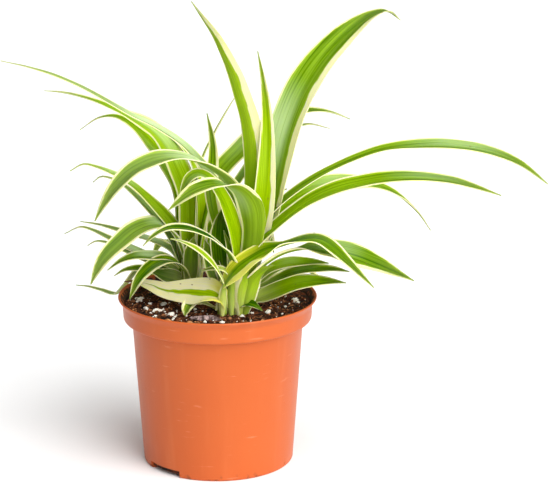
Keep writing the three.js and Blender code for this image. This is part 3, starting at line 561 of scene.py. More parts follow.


# The green set in each row is partly the leaf's own tone and partly painted shade and painted light; the
# sheen set there is painted.
MAIN_LEAVES = {
    "tall_left": leaf(14.5, [-10, 0, 0], 0.5, 1.7, [(10, 95, -27), (13, 110, -26), (18, 135, -26),
        (21, 160, -27), (21.5, 185, -29), (19.3, 208, -33), (15.2, 223, -37), (9.5, 240, -43),
        (0, 260, -52), (-8, 272, -59), (-14, 281, -64)], cream=(5, 0.8), tone_and_shade=0.95, painted_sheen=0.05),
    "tall_middle": leaf(14, [0, 0, 0], 0.35, 1.4, [(11, 95, -28), (17, 112, -29), (23.5, 135, -31),
        (27.3, 155, -33), (29, 170, -34), (29.8, 185, -35), (30.2, 200, -36), (29.9, 215, -36),
        (28.6, 228, -36), (26.7, 240, -35), (24.5, 251.5, -33)], 80, cream=(0.9, 3.4), tone_and_shade=0.85,
        painted_sheen=0.05),
    "tall_right": leaf(24, [10, 15, 15, 20, 0], 0.55, 2, [(12, 95, -27), (19, 112, -25), (26, 135, -23),
        (31, 155, -21), (36, 180, -17), (41.5, 203, -12), (49, 224, -6), (59, 241, 1), (70, 254.5, 9),
        (84, 267, 19), (92, 272.2, 26), (100, 274.5, 33), (108, 269.5, 41)], cream=(1.2, 5), tone_and_shade=0.42,
        painted_sheen=1, painted_sheen_at=0.47),
    "long_right_high": leaf(15.6, [30, 5, 0, 13, 28], 0.6, 2.4, [(13, 95, -27), (19, 112, -27),
        (23, 132, -27), (27, 145, -27), (33.5, 154, -27), (45, 164.5, -27), (60, 174.5, -27),
        (80, 184.6, -26), (100, 191.4, -25), (120, 193.7, -24), (140, 193.4, -23), (160, 190.2, -22),
        (180, 182.6, -21), (198, 170, -19)], cream=(0.8, 1.6), tone_and_shade=0.35, painted_sheen=0.5, painted_sheen_at=0.75),
    "long_right_low": leaf(15.5, [10, 20, 20, 15, 20], 0.5, 2.4, [(12.5, 95, -29), (18, 112, -31),
        (22.5, 129, -33), (27, 136.5, -35), (34, 143.5, -37), (45, 152.8, -39), (57, 161.2, -41),
        (70, 167, -44), (85, 171, -46), (100, 173.7, -48), (120, 174.2, -51), (140, 172, -53),
        (155, 168, -55), (170, 163.3, -57)], cream=(1, 1.4), tone_and_shade=0.45, painted_sheen=0.3, painted_sheen_at=0.8),
    "long_right_behind": leaf(13, [10, 15, 15, 30, 40, 35, 20, 15, 15], 0.55, 2, [(13, 95, -24),
        (22, 120, -18), (30, 145, -10), (40, 157, -4), (50, 164.5, 1), (60, 169, 6), (70, 171.3, 10),
        (80, 171.6, 14), (90, 170.8, 17), (100, 168, 20), (108, 163.8, 24), (114, 159, 27),
        (121, 152, 29), (128, 142, 31)], cream=(1.2, 2.2), tone_and_shade=0.5, painted_sheen=0.5),
    "small_dark_right": leaf(9, [0, 10, 20, 20], 0.55, 2, [(13, 96, -22), (22, 130, -16),
        (28, 150, -12), (32.5, 160.5, -10), (37, 166, -9), (42, 168.3, -8)], cream=(0.5, 0.7),
        tone_and_shade=0.15, painted_sheen=0),
    "folded_front": leaf(17, [-10, -10, -8, -8, -25, -12, 12, 22, 28], 0.52, 2.4, [(11, 95, -29),
        (15, 112, -33), (18.5, 128, -36), (20.3, 140, -38), (20.3, 150, -40), (18.6, 158.5, -43),
        (14.5, 165.5, -47), (8, 169.8, -51), (0, 171, -55), (-8, 169.5, -59), (-15, 166.5, -62),
        (-22, 161.5, -65), (-29, 155.5, -68)], cream=(2.2, 1.8), bare=0.56, tone_and_shade=0.42, painted_sheen=0.6,
        painted_sheen_at=1.6),
    "high_arch_left": leaf(17, [-45, -40, -35, -30, -12, 5, 20, 32, 38], 0.6, 2.2, [(11, 95, -26),
        (15.5, 112, -25), (17.5, 130, -25), (16.5, 148, -26), (11.8, 162, -28), (4.4, 174, -31),
        (-3, 179.9, -33), (-10.5, 184.3, -35), (-20, 187.2, -37.5), (-30, 187.3, -39.5),
        (-40, 184.8, -42), (-50, 179.6, -45), (-59.8, 170, -48), (-67.5, 159, -51), (-73, 149, -54)],
        cream=(1.5, 1.5), tone_and_shade=0.45, painted_sheen=1.14, painted_sheen_at=1.55),
    "far_left_high": leaf(9.5, [40, 40, 35, 25, 10, 5, 10, 15, 15], 0.35, 1.5, [(10, 95, -25),
        (12, 112, -23), (12, 130, -22), (9, 147, -21), (3.8, 161, -21), (-3, 174, -20),
        (-10.5, 185, -18), (-20, 195.3, -16), (-35, 205.8, -15), (-50, 213.2, -14), (-65, 222.3, -13),
        (-80, 230.8, -12), (-95, 237.6, -11), (-110, 242.6, -10), (-126, 246.5, -8)], cream=(0.9, 0.5),
        tone_and_shade=0.1, painted_sheen=1.3, painted_sheen_at=1.55),
    "low_right_front": leaf(15.5, [10, 26, 56, 32, -4, 8, 20, 18, 15], 0.4, 2.4, [(3, 94, -31),
        (3.6, 102, -33), (5.2, 108.5, -36), (8, 113.4, -39.5), (12, 118.3, -42), (16.5, 122.2, -43.3),
        (21.5, 125.6, -44.2), (26.8, 128.6, -44.8), (31.5, 130.4, -45.2), (36.5, 132, -45.5),
        (42, 133.8, -46), (50, 135.8, -47), (58, 136.6, -48), (64, 134.8, -49), (70, 130.2, -51),
        (76, 124.4, -52), (82, 118.5, -54), (90, 110.5, -56), (94.5, 106.3, -57)], cream=(1.2, 5.2),
        slim=0.36, tone_and_shade=0.25, painted_sheen=0.1, yellow=0.75, yellow_at=0.25, spots=0.6),
    "low_right_broad": leaf(18, [8, -6, -12, -14, 20, 36, 28, 20], 0.62, 2, [(12, 94, -27),
        (16, 106, -30), (23, 115.5, -33.5), (31, 122.5, -36), (40, 127.8, -36), (50, 130.4, -37),
        (61, 130.7, -38), (72, 129, -39), (84, 125.5, -40), (96, 120.5, -41), (108, 115, -41),
        (118.5, 110.6, -42)], cream=(0.9, 3), tone_and_shade=0.35, painted_sheen=0.45, spots=0.4),
    "small_arch_left": leaf(11, [-20, -10, 10, 20, 20], 0.5, 1.7, [(9, 95, -29), (10, 112, -35),
        (9, 122, -37), (5, 130, -38.5), (0, 134.5, -40), (-5, 138.5, -41), (-10, 141, -43),
        (-16, 143.5, -45), (-22, 144.5, -47), (-28, 144.5, -49), (-33, 143, -51), (-39, 139, -52.5),
        (-44.5, 133.5, -54)], cream=(1.7, 1.5), tone_and_shade=-0.1, painted_sheen=0.1),
    "dark_middle": leaf(13, [0, 0, 0], 0.65, 2.6, [(8, 96, -25), (5, 112, -23), (2.6, 125, -21.5),
        (1.8, 140, -20), (3.4, 157, -18)], 100, cream=(0.7, 0.6), tone_and_shade=0.05, painted_sheen=0),
    "arch_behind_fold": leaf(12, [78, 78, 76, 72, 55, 25, 10], 0.5, 2.2, [(9, 95, -27), (12, 110, -29),
        (12.4, 125, -30), (11.6, 135, -31), (9.6, 145, -32), (6.4, 155, -33), (2.9, 163, -34),
        (-1.2, 170, -36), (-5.8, 175.6, -38), (-11.3, 177.8, -40), (-16.3, 175, -42), (-19.8, 168, -44),
        (-22, 158, -46)], cream=(0.4, 0.8), tone_and_shade=0.75, painted_sheen=0.2, painted_sheen_at=0.8),
    "young_upright": leaf(8.5, [50, 55, 55], 0.6, 1.7, [(9, 96, -22), (7, 115, -14), (3.5, 135, -9),
        (0.8, 147, -8), (-1.6, 157, -8), (-3, 167, -8), (-2.7, 178, -7.5), (-1.8, 189, -7),
        (-2.6, 200, -6), (-5.5, 214.5, -5)], cream=(0.8, 1.6), tone_and_shade=0.5, painted_sheen=0.1),
    "dark_short": leaf(10, [0, 0, 0], 0.6, 2.5, [(8, 95, -26), (0, 112, -24), (-4, 124, -22),
        (-7.5, 137, -19)], 100, cream=(1, 0.6), tone_and_shade=0.12, painted_sheen=0.1),
    "short_pointed": leaf(5, [0, 0, 0], 0.5, 2, [(9, 96, -28), (8.5, 118, -31), (7.3, 131, -31.5),
        (4, 143, -31)], 100, cream=(0.8, 0.3), tone_and_shade=0.3, painted_sheen=0.6),
    "small_pale_left": leaf(5, [10, 20, 20], 0.5, 2, [(9, 106, -30), (7, 115, -34), (3, 118.8, -36),
        (-3, 119.2, -35), (-10, 117.5, -33)], cream=(2, 2), tone_and_shade=0.5, painted_sheen=0.2),
    "tiny_front": leaf(6, [0, 30, 30], 0.5, 1.7, [(10, 94, -27), (14, 95, -32), (18, 97, -36),
        (22, 96, -40), (27, 92.5, -44)], cream=(0, 0.2), tone_and_shade=-0.2, painted_sheen=0, pale=0),
    "hidden_back_right": leaf(13, [0, 0, 0], 0.5, 1.7, [(13, 96, -24), (19, 126, -12), (22, 136, 4),
        (26, 140, 24), (30, 139, 48), (34, 129, 72)], cream=(1.8, 1.8), tone_and_shade=0.5, painted_sheen=0.2),
    "narrow_left": leaf(8, [20, 30, 40, 30], 0.4, 1.7, [(3, 92, -32), (4, 106, -37), (1.5, 114, -39),
        (-3, 122, -41), (-8, 127.5, -43), (-12, 131, -45), (-18, 134.5, -48), (-24, 137, -50),
        (-28, 138, -52)], cream=(1.3, 1.5), tone_and_shade=0.75, painted_sheen=0.1, pale=0.9),
    "broad_lying_left": leaf(20, [30, 50, 45, 30], 0.16, 1.15, [(3.4, 98.5, -31.5), (1.4, 100.6, -33.5),
        (-2.5, 102.2, -33.5), (-9, 103.8, -30), (-16, 104.3, -25), (-24, 104.8, -20), (-32, 105.8, -14),
        (-40, 108.8, -8), (-48, 111.2, -3), (-56, 111.5, 2)], cream=(7.8, 7.4), tone_and_shade=0.7, painted_sheen=0,
        pale=0, dry=0.1, yellow=0.8, yellow_at=0.02, spots=0.8),
    "short_down_left": leaf(8, [0, 20, 30], 0.7, 2.6, [(1, 92, -31), (-4, 95, -27), (-10, 98, -24),
        (-15, 98.4, -28), (-18, 95, -34), (-19.8, 89.5, -40)], cream=(2.2, 2.2), tone_and_shade=0.4, painted_sheen=0.1),
    "sheath_left": leaf(5.6, [-90, -90, -90], 0.5, 3, [(8.2, 88, -34.5), (8.3, 97, -36),
        (8.6, 105, -36.5), (9.2, 113, -36), (10.2, 121, -34.5)], 0, cream=(0, 0), tone_and_shade=0.4, painted_sheen=0,
        pale=0.5, fold=42, round_back=0.8),
    "sheath_pale": leaf(14.5, [-90, -90, -90], 0.5, 3, [(13, 88, -33.5), (13.5, 97, -36),
        (14.5, 105, -37.8), (15.8, 113, -38.8), (17, 119.5, -39)], 0, cream=(0, 6), tone_and_shade=1, painted_sheen=0,
        pale=0.5, fold=38, round_back=0.8),
    "sheath_right": leaf(11.5, [-90, -90, -85, -60, -25], 0.4, 2.5, [(16.4, 89, -33), (18, 98, -36),
        (20.3, 106, -37.6), (23.5, 112.5, -38), (28.5, 117.5, -38), (34, 121, -37.5)], 0,
        cream=(1.1, 0), tone_and_shade=0.6, painted_sheen=0, pale=0.2, fold=33, round_back=0.8),
    "sheath_front": leaf(5.6, [-90, -90, -90], 0.5, 3, [(2.6, 88, -36), (2.9, 96, -38.5),
        (3.3, 103, -41), (3.9, 109.5, -43)], 0, cream=(0, 1), tone_and_shade=0.9, painted_sheen=0, pale=1, fold=40,
        round_back=0.8),
}
RIGHT_LEAVES = {
    "right_upper": leaf(12, [10, 20, 20], 0.5, 2, [(20.5, 99, -6), (24, 108.5, -8), (28, 114, -10),
        (34, 119, -12), (42, 121.6, -14), (50, 122.3, -16), (58, 122.4, -18), (67, 122, -20)],
        cream=(0.6, 0.8), tone_and_shade=0.9, painted_sheen=0.3),
    "right_middle": leaf(11, [10, 20, 20], 0.5, 2, [(20.5, 99, -6), (24, 105, -9), (31, 109.5, -12),
        (38, 113, -15), (46, 116, -18), (54, 117.8, -21), (62, 118.2, -24), (70, 118, -27),
        (79.5, 116.6, -30)], cream=(1.1, 0.6), tone_and_shade=0.4, painted_sheen=0.2),
    "right_lower": leaf(14.5, [40, 42, 30, 25], 0.38, 2, [(20, 97, -6), (23, 98.5, -10),
        (28, 101.2, -13), (36, 105, -17), (44, 108, -21), (52, 109.6, -25), (60, 110.3, -28),
        (68, 110.2, -31), (77.5, 109.6, -34)], cream=(0.8, 0.9), tone_and_shade=0.72, painted_sheen=0.05),
    "right_behind": leaf(12, [0, 0, 0], 0.5, 1.7, [(20.5, 99, -6), (26, 110, 2), (34, 117, 14),
        (44, 119, 28), (54, 117, 42), (64, 110, 56)], cream=(1, 1.5), tone_and_shade=0.4, painted_sheen=0.7),
}
LEFT_LEAVES = {
    "thin_up_right": leaf(7, [0, 0, 0], 0.5, 1.7, [(-14, 106, 14), (-13, 130, 10), (-12, 160, 8),
        (-10, 180, 8), (-6, 192, 9), (-2, 200, 10), (2, 208, 12), (9, 220.5, 15), (13, 227, 17)],
        cream=(1, 0.6), tone_and_shade=0.35, painted_sheen=0.2),
    "behind_tall": leaf(18, [10, 15, 10], 0.5, 1.7, [(-14, 106, 14), (-12, 125, 14), (-9, 150, 16),
        (-3.5, 168, 19), (4, 180, 22), (13, 190, 26), (25, 202, 31), (38, 210.5, 37), (50, 214.8, 42),
        (62, 215.3, 47), (71, 213.5, 51), (79, 210.5, 54)], cream=(1.4, 1.6), tone_and_shade=0.45, painted_sheen=0.3),
    "behind_tall_low": leaf(11, [0, 0, 0], 0.5, 1.7, [(-13, 106, 16), (-6, 140, 22), (4, 158, 28),
        (14, 174, 33), (28, 193, 38), (42, 203, 43), (54.5, 207.3, 47), (67, 205, 51)],
        cream=(1.4, 1.4), tone_and_shade=0.45, painted_sheen=0.4),
    "left_middle": leaf(12, [60, 60, 45, 15, 10], 0.45, 1.7, [(-14, 106, 18), (-12, 122, 17),
        (-10.5, 140, 15), (-10, 155, 14), (-10.8, 167, 13.5), (-13, 178, 13), (-17, 187.5, 12),
        (-23, 196, 11), (-30, 202.3, 10), (-38, 207, 9), (-46, 210.5, 8)], cream=(1, 1.3), tone_and_shade=1.2,
        painted_sheen=0.4),
    "left_broad": leaf(16.5, [60, 65, 65, 60, 58, 38, 15, 8, 5], 0.4, 1.6, [(-17, 106, 14),
        (-17.5, 120, 11), (-18, 135, 9), (-18, 150, 8), (-18.3, 163, 8), (-20.3, 173, 8),
        (-23.8, 182, 7), (-28.5, 193, 6), (-33, 199.5, 5), (-38, 204.6, 4), (-44, 208.6, 3),
        (-51, 212.3, 2), (-60, 216.8, 0), (-72, 222, -2), (-82, 225.3, -3), (-92, 227.6, -4),
        (-101, 228.5, -5)], cream=(1.4, 1.3), tone_and_shade=0.75, painted_sheen=0.7, painted_sheen_at=1.6),
    "left_behind": leaf(17.5, [60, 55, 45, 30, -5], 0.35, 1.1, [(-18, 106, 20), (-19, 120, 19),
        (-19, 140, 19), (-18.7, 158, 19), (-22.8, 173, 20), (-31.2, 186, 21), (-40.2, 197.4, 22),
        (-47.2, 205.6, 23), (-53, 210, 24), (-60, 212.8, 25), (-70, 211.6, 27), (-80.5, 205, 29)],
        cream=(1, 1), tone_and_shade=0.85, painted_sheen=0.2),
    "left_under_arch": leaf(12.5, [40, 40, 30, 20], 0.4, 1.05, [(-18, 106, 12), (-19, 118, 10),
        (-21, 133, 8), (-26, 144, 6), (-32, 152, 4), (-40, 161, 2), (-48, 169, 0), (-56, 175.3, -2),
        (-64, 179.3, -4), (-72, 182.5, -5), (-79, 184, -6), (-87, 180, -8)], cream=(0.8, 0.9), tone_and_shade=0.6,
        painted_sheen=0.6, painted_sheen_at=1.75),
    "left_under_arch_low": leaf(11.5, [30, 30, 25, 15], 0.4, 1.1, [(-19, 106, 14), (-22, 122, 14),
        (-28, 139, 13), (-35, 149.5, 12), (-42, 157.5, 11), (-49, 165, 10), (-57, 172, 9),
        (-64, 175.6, 8), (-69, 176.3, 7), (-73.5, 173, 6)], cream=(1, 1), tone_and_shade=0.5, painted_sheen=1.25,
        painted_sheen_at=1.55),
    "hidden_back": leaf(13, [0, 0, 0], 0.5, 1.7, [(-14, 106, 16), (-11, 135, 22), (-10, 154, 38),
        (-9, 162, 60), (-8, 160, 84), (-6, 148, 106)], cream=(1.1, 1.1), tone_and_shade=0.5, painted_sheen=0.2),
    "hidden_back_middle": leaf(13, [0, 0, 0], 0.5, 1.7, [(-14, 106, 16), (-8, 131, 24), (-1, 142, 40),
        (8, 147, 60), (16, 146, 82), (22, 135, 100)], cream=(1.1, 1.1), tone_and_shade=0.55, painted_sheen=0.2),
    "hidden_back_left": leaf(12, [0, 0, 0], 0.5, 1.7, [(-16, 106, 16), (-19, 124, 26), (-23, 133, 40),
        (-28, 137, 58), (-33, 136, 78), (-39, 127, 96)], cream=(1.1, 1.1), tone_and_shade=0.5, painted_sheen=0.2),
    "low_arch_left": leaf(14.4, [0, 8, 20, 26, 28], 0.56, 2.4, [(-20, 104, 8), (-21.3, 125, 6),
        (-26, 140.2, 2), (-33.5, 146.6, -3), (-42, 146.2, -8), (-50.3, 142.4, -13), (-58.4, 135.2, -18),
        (-66.8, 126.8, -23), (-72.3, 118, -27), (-76.2, 109.8, -30)], cream=(1.6, 1.2), tone_and_shade=0.45,
        painted_sheen=1.12, painted_sheen_at=1.4),
    "thin_far_left_top": leaf(9, [0, 0, 0], 0.5, 1.7, [(-20, 104, 12), (-21, 118, 18), (-26, 129.5, 22),
        (-36, 135.5, 27), (-48, 139.5, 33), (-60, 143.5, 39), (-70, 146.5, 44), (-81.5, 149, 50)],
        cream=(1, 0.8), tone_and_shade=0.25, painted_sheen=1.3, painted_sheen_at=1.5),
    "thin_far_left": leaf(11, [0, 0, 0], 0.45, 1.2, [(-20, 104, 10), (-24, 116, 13), (-34, 123.5, 15),
        (-48, 129.5, 19), (-58, 134.5, 22), (-67, 139.5, 26), (-75, 143.5, 29), (-82, 145.3, 32),
        (-91, 141.5, 36)], cream=(1, 1), tone_and_shade=0.25, painted_sheen=1.3, painted_sheen_at=1.5),
    "thin_far_left_low": leaf(10, [0, 0, 0], 0.5, 1.7, [(-20, 104, 9), (-26, 114, 10), (-36, 120.5, 11),
        (-47, 126, 13), (-57, 131, 15), (-66, 135.3, 18), (-73, 136.4, 20), (-77.5, 134, 21)],
        cream=(0.9, 0.9), tone_and_shade=0.25, painted_sheen=1.3, painted_sheen_at=1.5),
    "over_the_rim": leaf(8, [0, 0, 0], 0.5, 1.7, [(-20, 104, 11), (-28, 116, 20), (-38, 121, 28),
        (-47, 119, 35), (-55, 109, 41), (-61, 103.5, 45), (-70, 106, 52), (-78, 108.4, 58),
        (-85, 109.5, 63)], cream=(1, 1), tone_and_shade=0.3, painted_sheen=1.3, pale=0, painted_sheen_at=0.6),
    "drooping_left": leaf(10, [0, 10, 20, 20, 30], 0.55, 2.2, [(-19, 104, 6), (-18.5, 113, 2),
        (-20.5, 119, -1), (-25, 123.5, -4), (-31, 124.5, -7), (-37, 122.3, -10), (-43, 117.5, -13),
        (-48, 111, -16), (-53, 100.5, -19)], cream=(1.3, 1.1), tone_and_shade=0.2, painted_sheen=0.1),
    "level_left": leaf(11, [0, 10, 20, 10], 0.5, 1.7, [(-19, 104, 8), (-19.5, 114, 5), (-24, 122, 2),
        (-31, 126, -1), (-40, 126.8, -4), (-49, 127, -7), (-57, 124.5, -9), (-66, 118.5, -12)],
        cream=(1.1, 1), tone_and_shade=0.25, painted_sheen=1, painted_sheen_at=1.6),
    "level_left_low": leaf(9, [0, 10, 20, 10], 0.5, 1.7, [(-20, 104, 9), (-24, 111, 7), (-32, 115, 5),
        (-41, 118, 3), (-49, 119.3, 1), (-56, 118.3, -1), (-62, 115, -2)], cream=(0.9, 0.9), tone_and_shade=0.2,
        painted_sheen=0.2),
    "dark_low_left": leaf(13, [20, 40, 40], 0.5, 1.7, [(-18, 103, 6), (-19, 108, 4), (-24, 112, 2),
        (-32, 114.5, 0), (-41, 118, -2)], cream=(0.6, 0.6), tone_and_shade=-0.1, painted_sheen=0),
    "dark_short_left": leaf(10, [0, 0, 0], 0.6, 2.5, [(-18, 103, 5), (-16, 116, 0), (-15.5, 128, -3),
        (-14, 139, -5)], 270, cream=(0.8, 1), tone_and_shade=0.1, painted_sheen=0),
    "hidden_back_low": leaf(12, [0, 0, 0], 0.5, 1.7, [(-20, 104, 12), (-25, 116, 28), (-31, 122, 48),
        (-37, 119, 70), (-42, 108, 90)], cream=(1.2, 1.2), tone_and_shade=0.45, painted_sheen=0.2),
    "left_sheath_pale": leaf(8, [-90, -90, -90], 0.5, 2.4, [(-14, 96, 4), (-14, 106, 3),
        (-13.4, 116, 2), (-12.5, 125, 2), (-11.5, 131, 3)], 0, cream=(1.5, 1.5), tone_and_shade=0.7, painted_sheen=0.6,
        pale=0.9, fold=36, round_back=0.8),
    "left_sheath_green": leaf(8, [-90, -90, -90], 0.5, 2.4, [(-18, 96, 4), (-18.2, 106, 3),
        (-18.2, 118, 3), (-18.2, 130, 4), (-18.2, 138, 5)], 0, cream=(0.5, 0.5), tone_and_shade=0.8, painted_sheen=0,
        pale=0.2, fold=36, round_back=0.8),
}

# Stems: x, y, lean sideways and backward for each millimetre of height, rings of (radius, height)
MAIN_STEM = (9.3, -25.8, (0.38, 0.04),
             [(3.4, 84), (4.1, 92), (4.4, 100), (5.2, 108), (6, 115), (5, 121), (2.5, 124)])
FRONT_STEM = (2.6, -30.8, (0.08, -0.1),
              [(2.4, 84), (2.8, 94), (2.6, 102), (2.9, 108), (2, 113), (1.2, 114.5)])
RIGHT_STEM = (20.4, -5.6, (0.3, -0.1), [(2.8, 84), (3.4, 94), (3.8, 101), (3.6, 106), (1.6, 108)])
LEFT_STEM = (-17, 10.6, (0, 0.05),
             [(4.2, 84), (5.2, 94), (6.2, 101), (7.2, 108), (7, 114), (4.5, 119), (2, 121)])

# Pot ---------------------------------------------------------------------------------------------
POT_HEIGHT = 103
LIP_RADIUS = 60
BAND_RADIUS = 57.3
BAND_FOOT = 88.4
BODY_TOP_RADIUS = 51.7
BASE_RADIUS = 45.5
WALL = 1.2
FLOOR = 1.6
NOTCH_HEIGHT = 4.4
NOTCH_HALF_ANGLE = 16
NOTCH_DIRECTIONS = (223, 43)
NOTCH_BACK = 38.5
DRAIN_HOLES = 6
DRAIN_RADIUS = 3.5
DRAIN_REACH = 30
DRAIN_TURN = 13
POT_STEPS = 168
LEDGE_TOP = BAND_FOOT + WALL + 0.2


def pot_body():
    """The turned pot in metres, with its corners rounded"""
    outside = [(0, 0), (BASE_RADIUS - 0.8, 0), (BASE_RADIUS, 0.9), (BODY_TOP_RADIUS, BAND_FOOT),
               (BAND_RADIUS - 2, BAND_FOOT + 0.2), (BAND_RADIUS - 0.8, BAND_FOOT + 0.9),
               (BAND_RADIUS - 0.4, BAND_FOOT + 2.2), (BAND_RADIUS, POT_HEIGHT - 4.8),
               (LIP_RADIUS - 1.8, POT_HEIGHT - 3.3), (LIP_RADIUS - 0.3, POT_HEIGHT - 1.3),
               (LIP_RADIUS, POT_HEIGHT - 0.6), (LIP_RADIUS - 0.5, POT_HEIGHT)]
    inside = [(LIP_RADIUS - 1.1, POT_HEIGHT - 0.3), (BAND_RADIUS - 0.6, POT_HEIGHT - 3.4),
              (BAND_RADIUS - WALL, POT_HEIGHT - 5.2), (BAND_RADIUS - WALL - 0.4, LEDGE_TOP + 0.8),
              (BAND_RADIUS - WALL - 1.1, LEDGE_TOP + 0.1), (BODY_TOP_RADIUS - WALL, LEDGE_TOP),
              (BASE_RADIUS - WALL, FLOOR), (0, FLOOR)]
    bm = bmesh.new()
    spun(bm, rounded([*outside, *inside], 0.9), POT_STEPS)
    to_metres(bm)
    return bm


def sector(inner, outer, low, high, direction, half_angle):
    """A closed block between two radii and two heights, in metres"""
    bm = bmesh.new()
    corners = [(inner, low), (outer, low), (outer, high), (inner, high)]
    face = bm.faces.new([bm.verts.new((radius, 0, height)) for radius, height in corners])
    start = Matrix.Rotation(math.radians(direction - half_angle), 3, "Z")
    bmesh.ops.rotate(bm, cent=(0, 0, 0), matrix=start, verts=bm.verts)
    bmesh.ops.spin(bm, geom=[*bm.verts, *bm.edges, face], cent=(0, 0, 0), axis=UP,
                   angle=math.radians(2 * half_angle), steps=12)
    bmesh.ops.recalc_face_normals(bm, faces=bm.faces)
    to_metres(bm)
    return bm


def drum(radius, low, high, x, y):
    """A closed upright cylinder, in metres"""
    bm = bmesh.new()
    middle = Matrix.Translation((x, y, (low + high) / 2))
    bmesh.ops.create_cone(bm, cap_ends=True, segments=32, radius1=radius, radius2=radius,
                          depth=high - low, matrix=middle)
    to_metres(bm)
    return bm


def loose(bm, name):
    """A passing object that only the Boolean modifiers use"""
    mesh = bpy.data.meshes.new(name)
    bm.to_mesh(mesh)
    bm.free()
    return added(name, mesh)


def joined(body, steps):
    """The body with each (operation, tool) carried out"""
    work = loose(body, "work")
    tools = []
    for operation, tool in steps:
        tools.append(loose(tool, "tool"))
        change = work.modifiers.new("change", "BOOLEAN")
        change.operation = operation
        change.solver = "EXACT"
        change.object = tools[-1]
    bpy.context.view_layer.update()
    result = bmesh.new()
    result.from_object(work, bpy.context.evaluated_depsgraph_get())
    for thing in [work, *tools]:
        mesh = thing.data
        bpy.data.objects.remove(thing)
        bpy.data.meshes.remove(mesh)
    return result


def make_pot(material):
    steps = []
    for direction in NOTCH_DIRECTIONS:
        roof = sector(NOTCH_BACK - WALL, BASE_RADIUS - 0.6, 0.2, NOTCH_HEIGHT + WALL, direction,
                      NOTCH_HALF_ANGLE + 3)
        cut = sector(NOTCH_BACK, LIP_RADIUS, -1, NOTCH_HEIGHT, direction, NOTCH_HALF_ANGLE)
        steps += [("UNION", roof), ("DIFFERENCE", cut)]
    for i in range(DRAIN_HOLES):
        angle = math.radians(360 / DRAIN_HOLES * (i + 0.5) + DRAIN_TURN)
        x, y = DRAIN_REACH * math.cos(angle), DRAIN_REACH * math.sin(angle)
        steps.append(("DIFFERENCE", drum(DRAIN_RADIUS, -1, FLOOR + 1, x, y)))
    piece(joined(pot_body(), steps), "nursery_pot", material, ["pot"], crease=35)


# Soil and what lies on it ------------------------------------------------------------------------
SOIL_EDGE = 98.7
SOIL_MIDDLE = 99.2
SOIL_RADIUS = BAND_RADIUS - WALL - 0.45
GAP = 0.35
CRUMBS = 1500
FIBRES = 210


def ground(x, y):
    """Height of the soil's surface in mm"""
    inward = SOIL_RADIUS - math.hypot(x, y)
    mound = 0.5 * math.sin(0.11 * x + 0.6) * math.sin(0.13 * y - 0.4)
    clods = 0.45 * math.sin(0.42 * x + 1.3) * math.sin(0.37 * y + 0.5)
    bits = 0.3 * math.sin(0.95 * x + 0.2) * math.sin(1.05 * y + 1.9)
    rough = noise.noise(Vector((x, y, 3)) * 0.3) * 0.8 + noise.noise(Vector((x, y, 9)) * 0.75) * 0.7
    level = blend(SOIL_EDGE, SOIL_MIDDLE, smooth(2.2 * inward / SOIL_RADIUS))
    return level + smooth(inward / 4) * (mound + clods + bits + rough)


def make_soil(material):
    foot = FLOOR + GAP
    ledge = LEDGE_TOP + GAP
    slope = (BODY_TOP_RADIUS - BASE_RADIUS) / BAND_FOOT
    profile = [(0, foot), (BASE_RADIUS - WALL - GAP + slope * foot, foot),
               (BODY_TOP_RADIUS - WALL - GAP, ledge), (SOIL_RADIUS - 1.1, ledge + 0.2),
               (SOIL_RADIUS - 0.4, ledge + 1.2), (SOIL_RADIUS, SOIL_EDGE)]
    rings = 46
    profile += [(SOIL_RADIUS * (1 - i / rings), SOIL_EDGE + 0.01) for i in range(1, rings + 1)]
    bm = bmesh.new()
    tint = bm.verts.layers.float_color.new("tint")
    spun(bm, profile, 150)
    for vert in bm.verts:
        if vert.co.z >= SOIL_EDGE:
            vert.co.z = ground(vert.co.x, vert.co.y)
        vert[tint] = (0, 0, 0, 1)
    to_metres(bm)
    piece(bm, "soil_body", material, ["soil"], crease=180)


def scatter(draw, count, clear=1.5):
    """Places on the open soil, as (x, y), denser towards the front where little covers it"""
    places = []
    while len(places) < count:
        radius = SOIL_RADIUS * math.sqrt(draw.random())
        angle = draw.uniform(0, math.tau)
        x, y = radius * math.cos(angle), radius * math.sin(angle)
        if radius < SOIL_RADIUS - clear and draw.random() < (0.95 if y < 5 else 0.5):
            places.append((x, y))
    return places


def lump(bm, draw, x, y, z, size, turn, rounds):
    """Adds one uneven closed grain, in mm, and returns its vertices"""
    verts = bmesh.ops.create_icosphere(bm, subdivisions=rounds, radius=1)["verts"]
    offset = Vector([draw.uniform(-50, 50) for _ in range(3)])
    spin = Matrix.Rotation(turn, 3, "Z")
    for vert in verts:
        uneven = 0.45 * noise.noise(vert.co * 1.3 + offset) + 0.3 * noise.noise(vert.co * 3.4 + offset)
        out = vert.co * (1 + uneven)
        vert.co = spin @ Vector([a * b / 2 for a, b in zip(out, size)]) + Vector((x, y, z))
    return verts


def make_crumbs(material):
    """Loose crumbs of peat, each with a tint of its own"""
    bm = bmesh.new()
    tint = bm.verts.layers.float_color.new("tint")
    draw = random.Random(11)
    for x, y in scatter(draw, CRUMBS):
        size = draw.uniform(0.6, 1.7) if draw.random() < 0.9 else draw.uniform(1.7, 3.4)
        sides = [size * draw.uniform(low, high) for low, high in ((0.7, 1.3), (0.5, 1), (0.4, 0.8))]
        shade = draw.choice((0, 0, 0.05, 0.15, 0.45, 1))
        for vert in lump(bm, draw, x, y, ground(x, y) + sides[2] * 0.2, sides, draw.uniform(0, 6),
                         2 if size > 2 else 1):
            vert[tint] = (shade, 0, 0, 1)
    to_metres(bm)
    piece(bm, "peat_crumbs", material, crease=180)


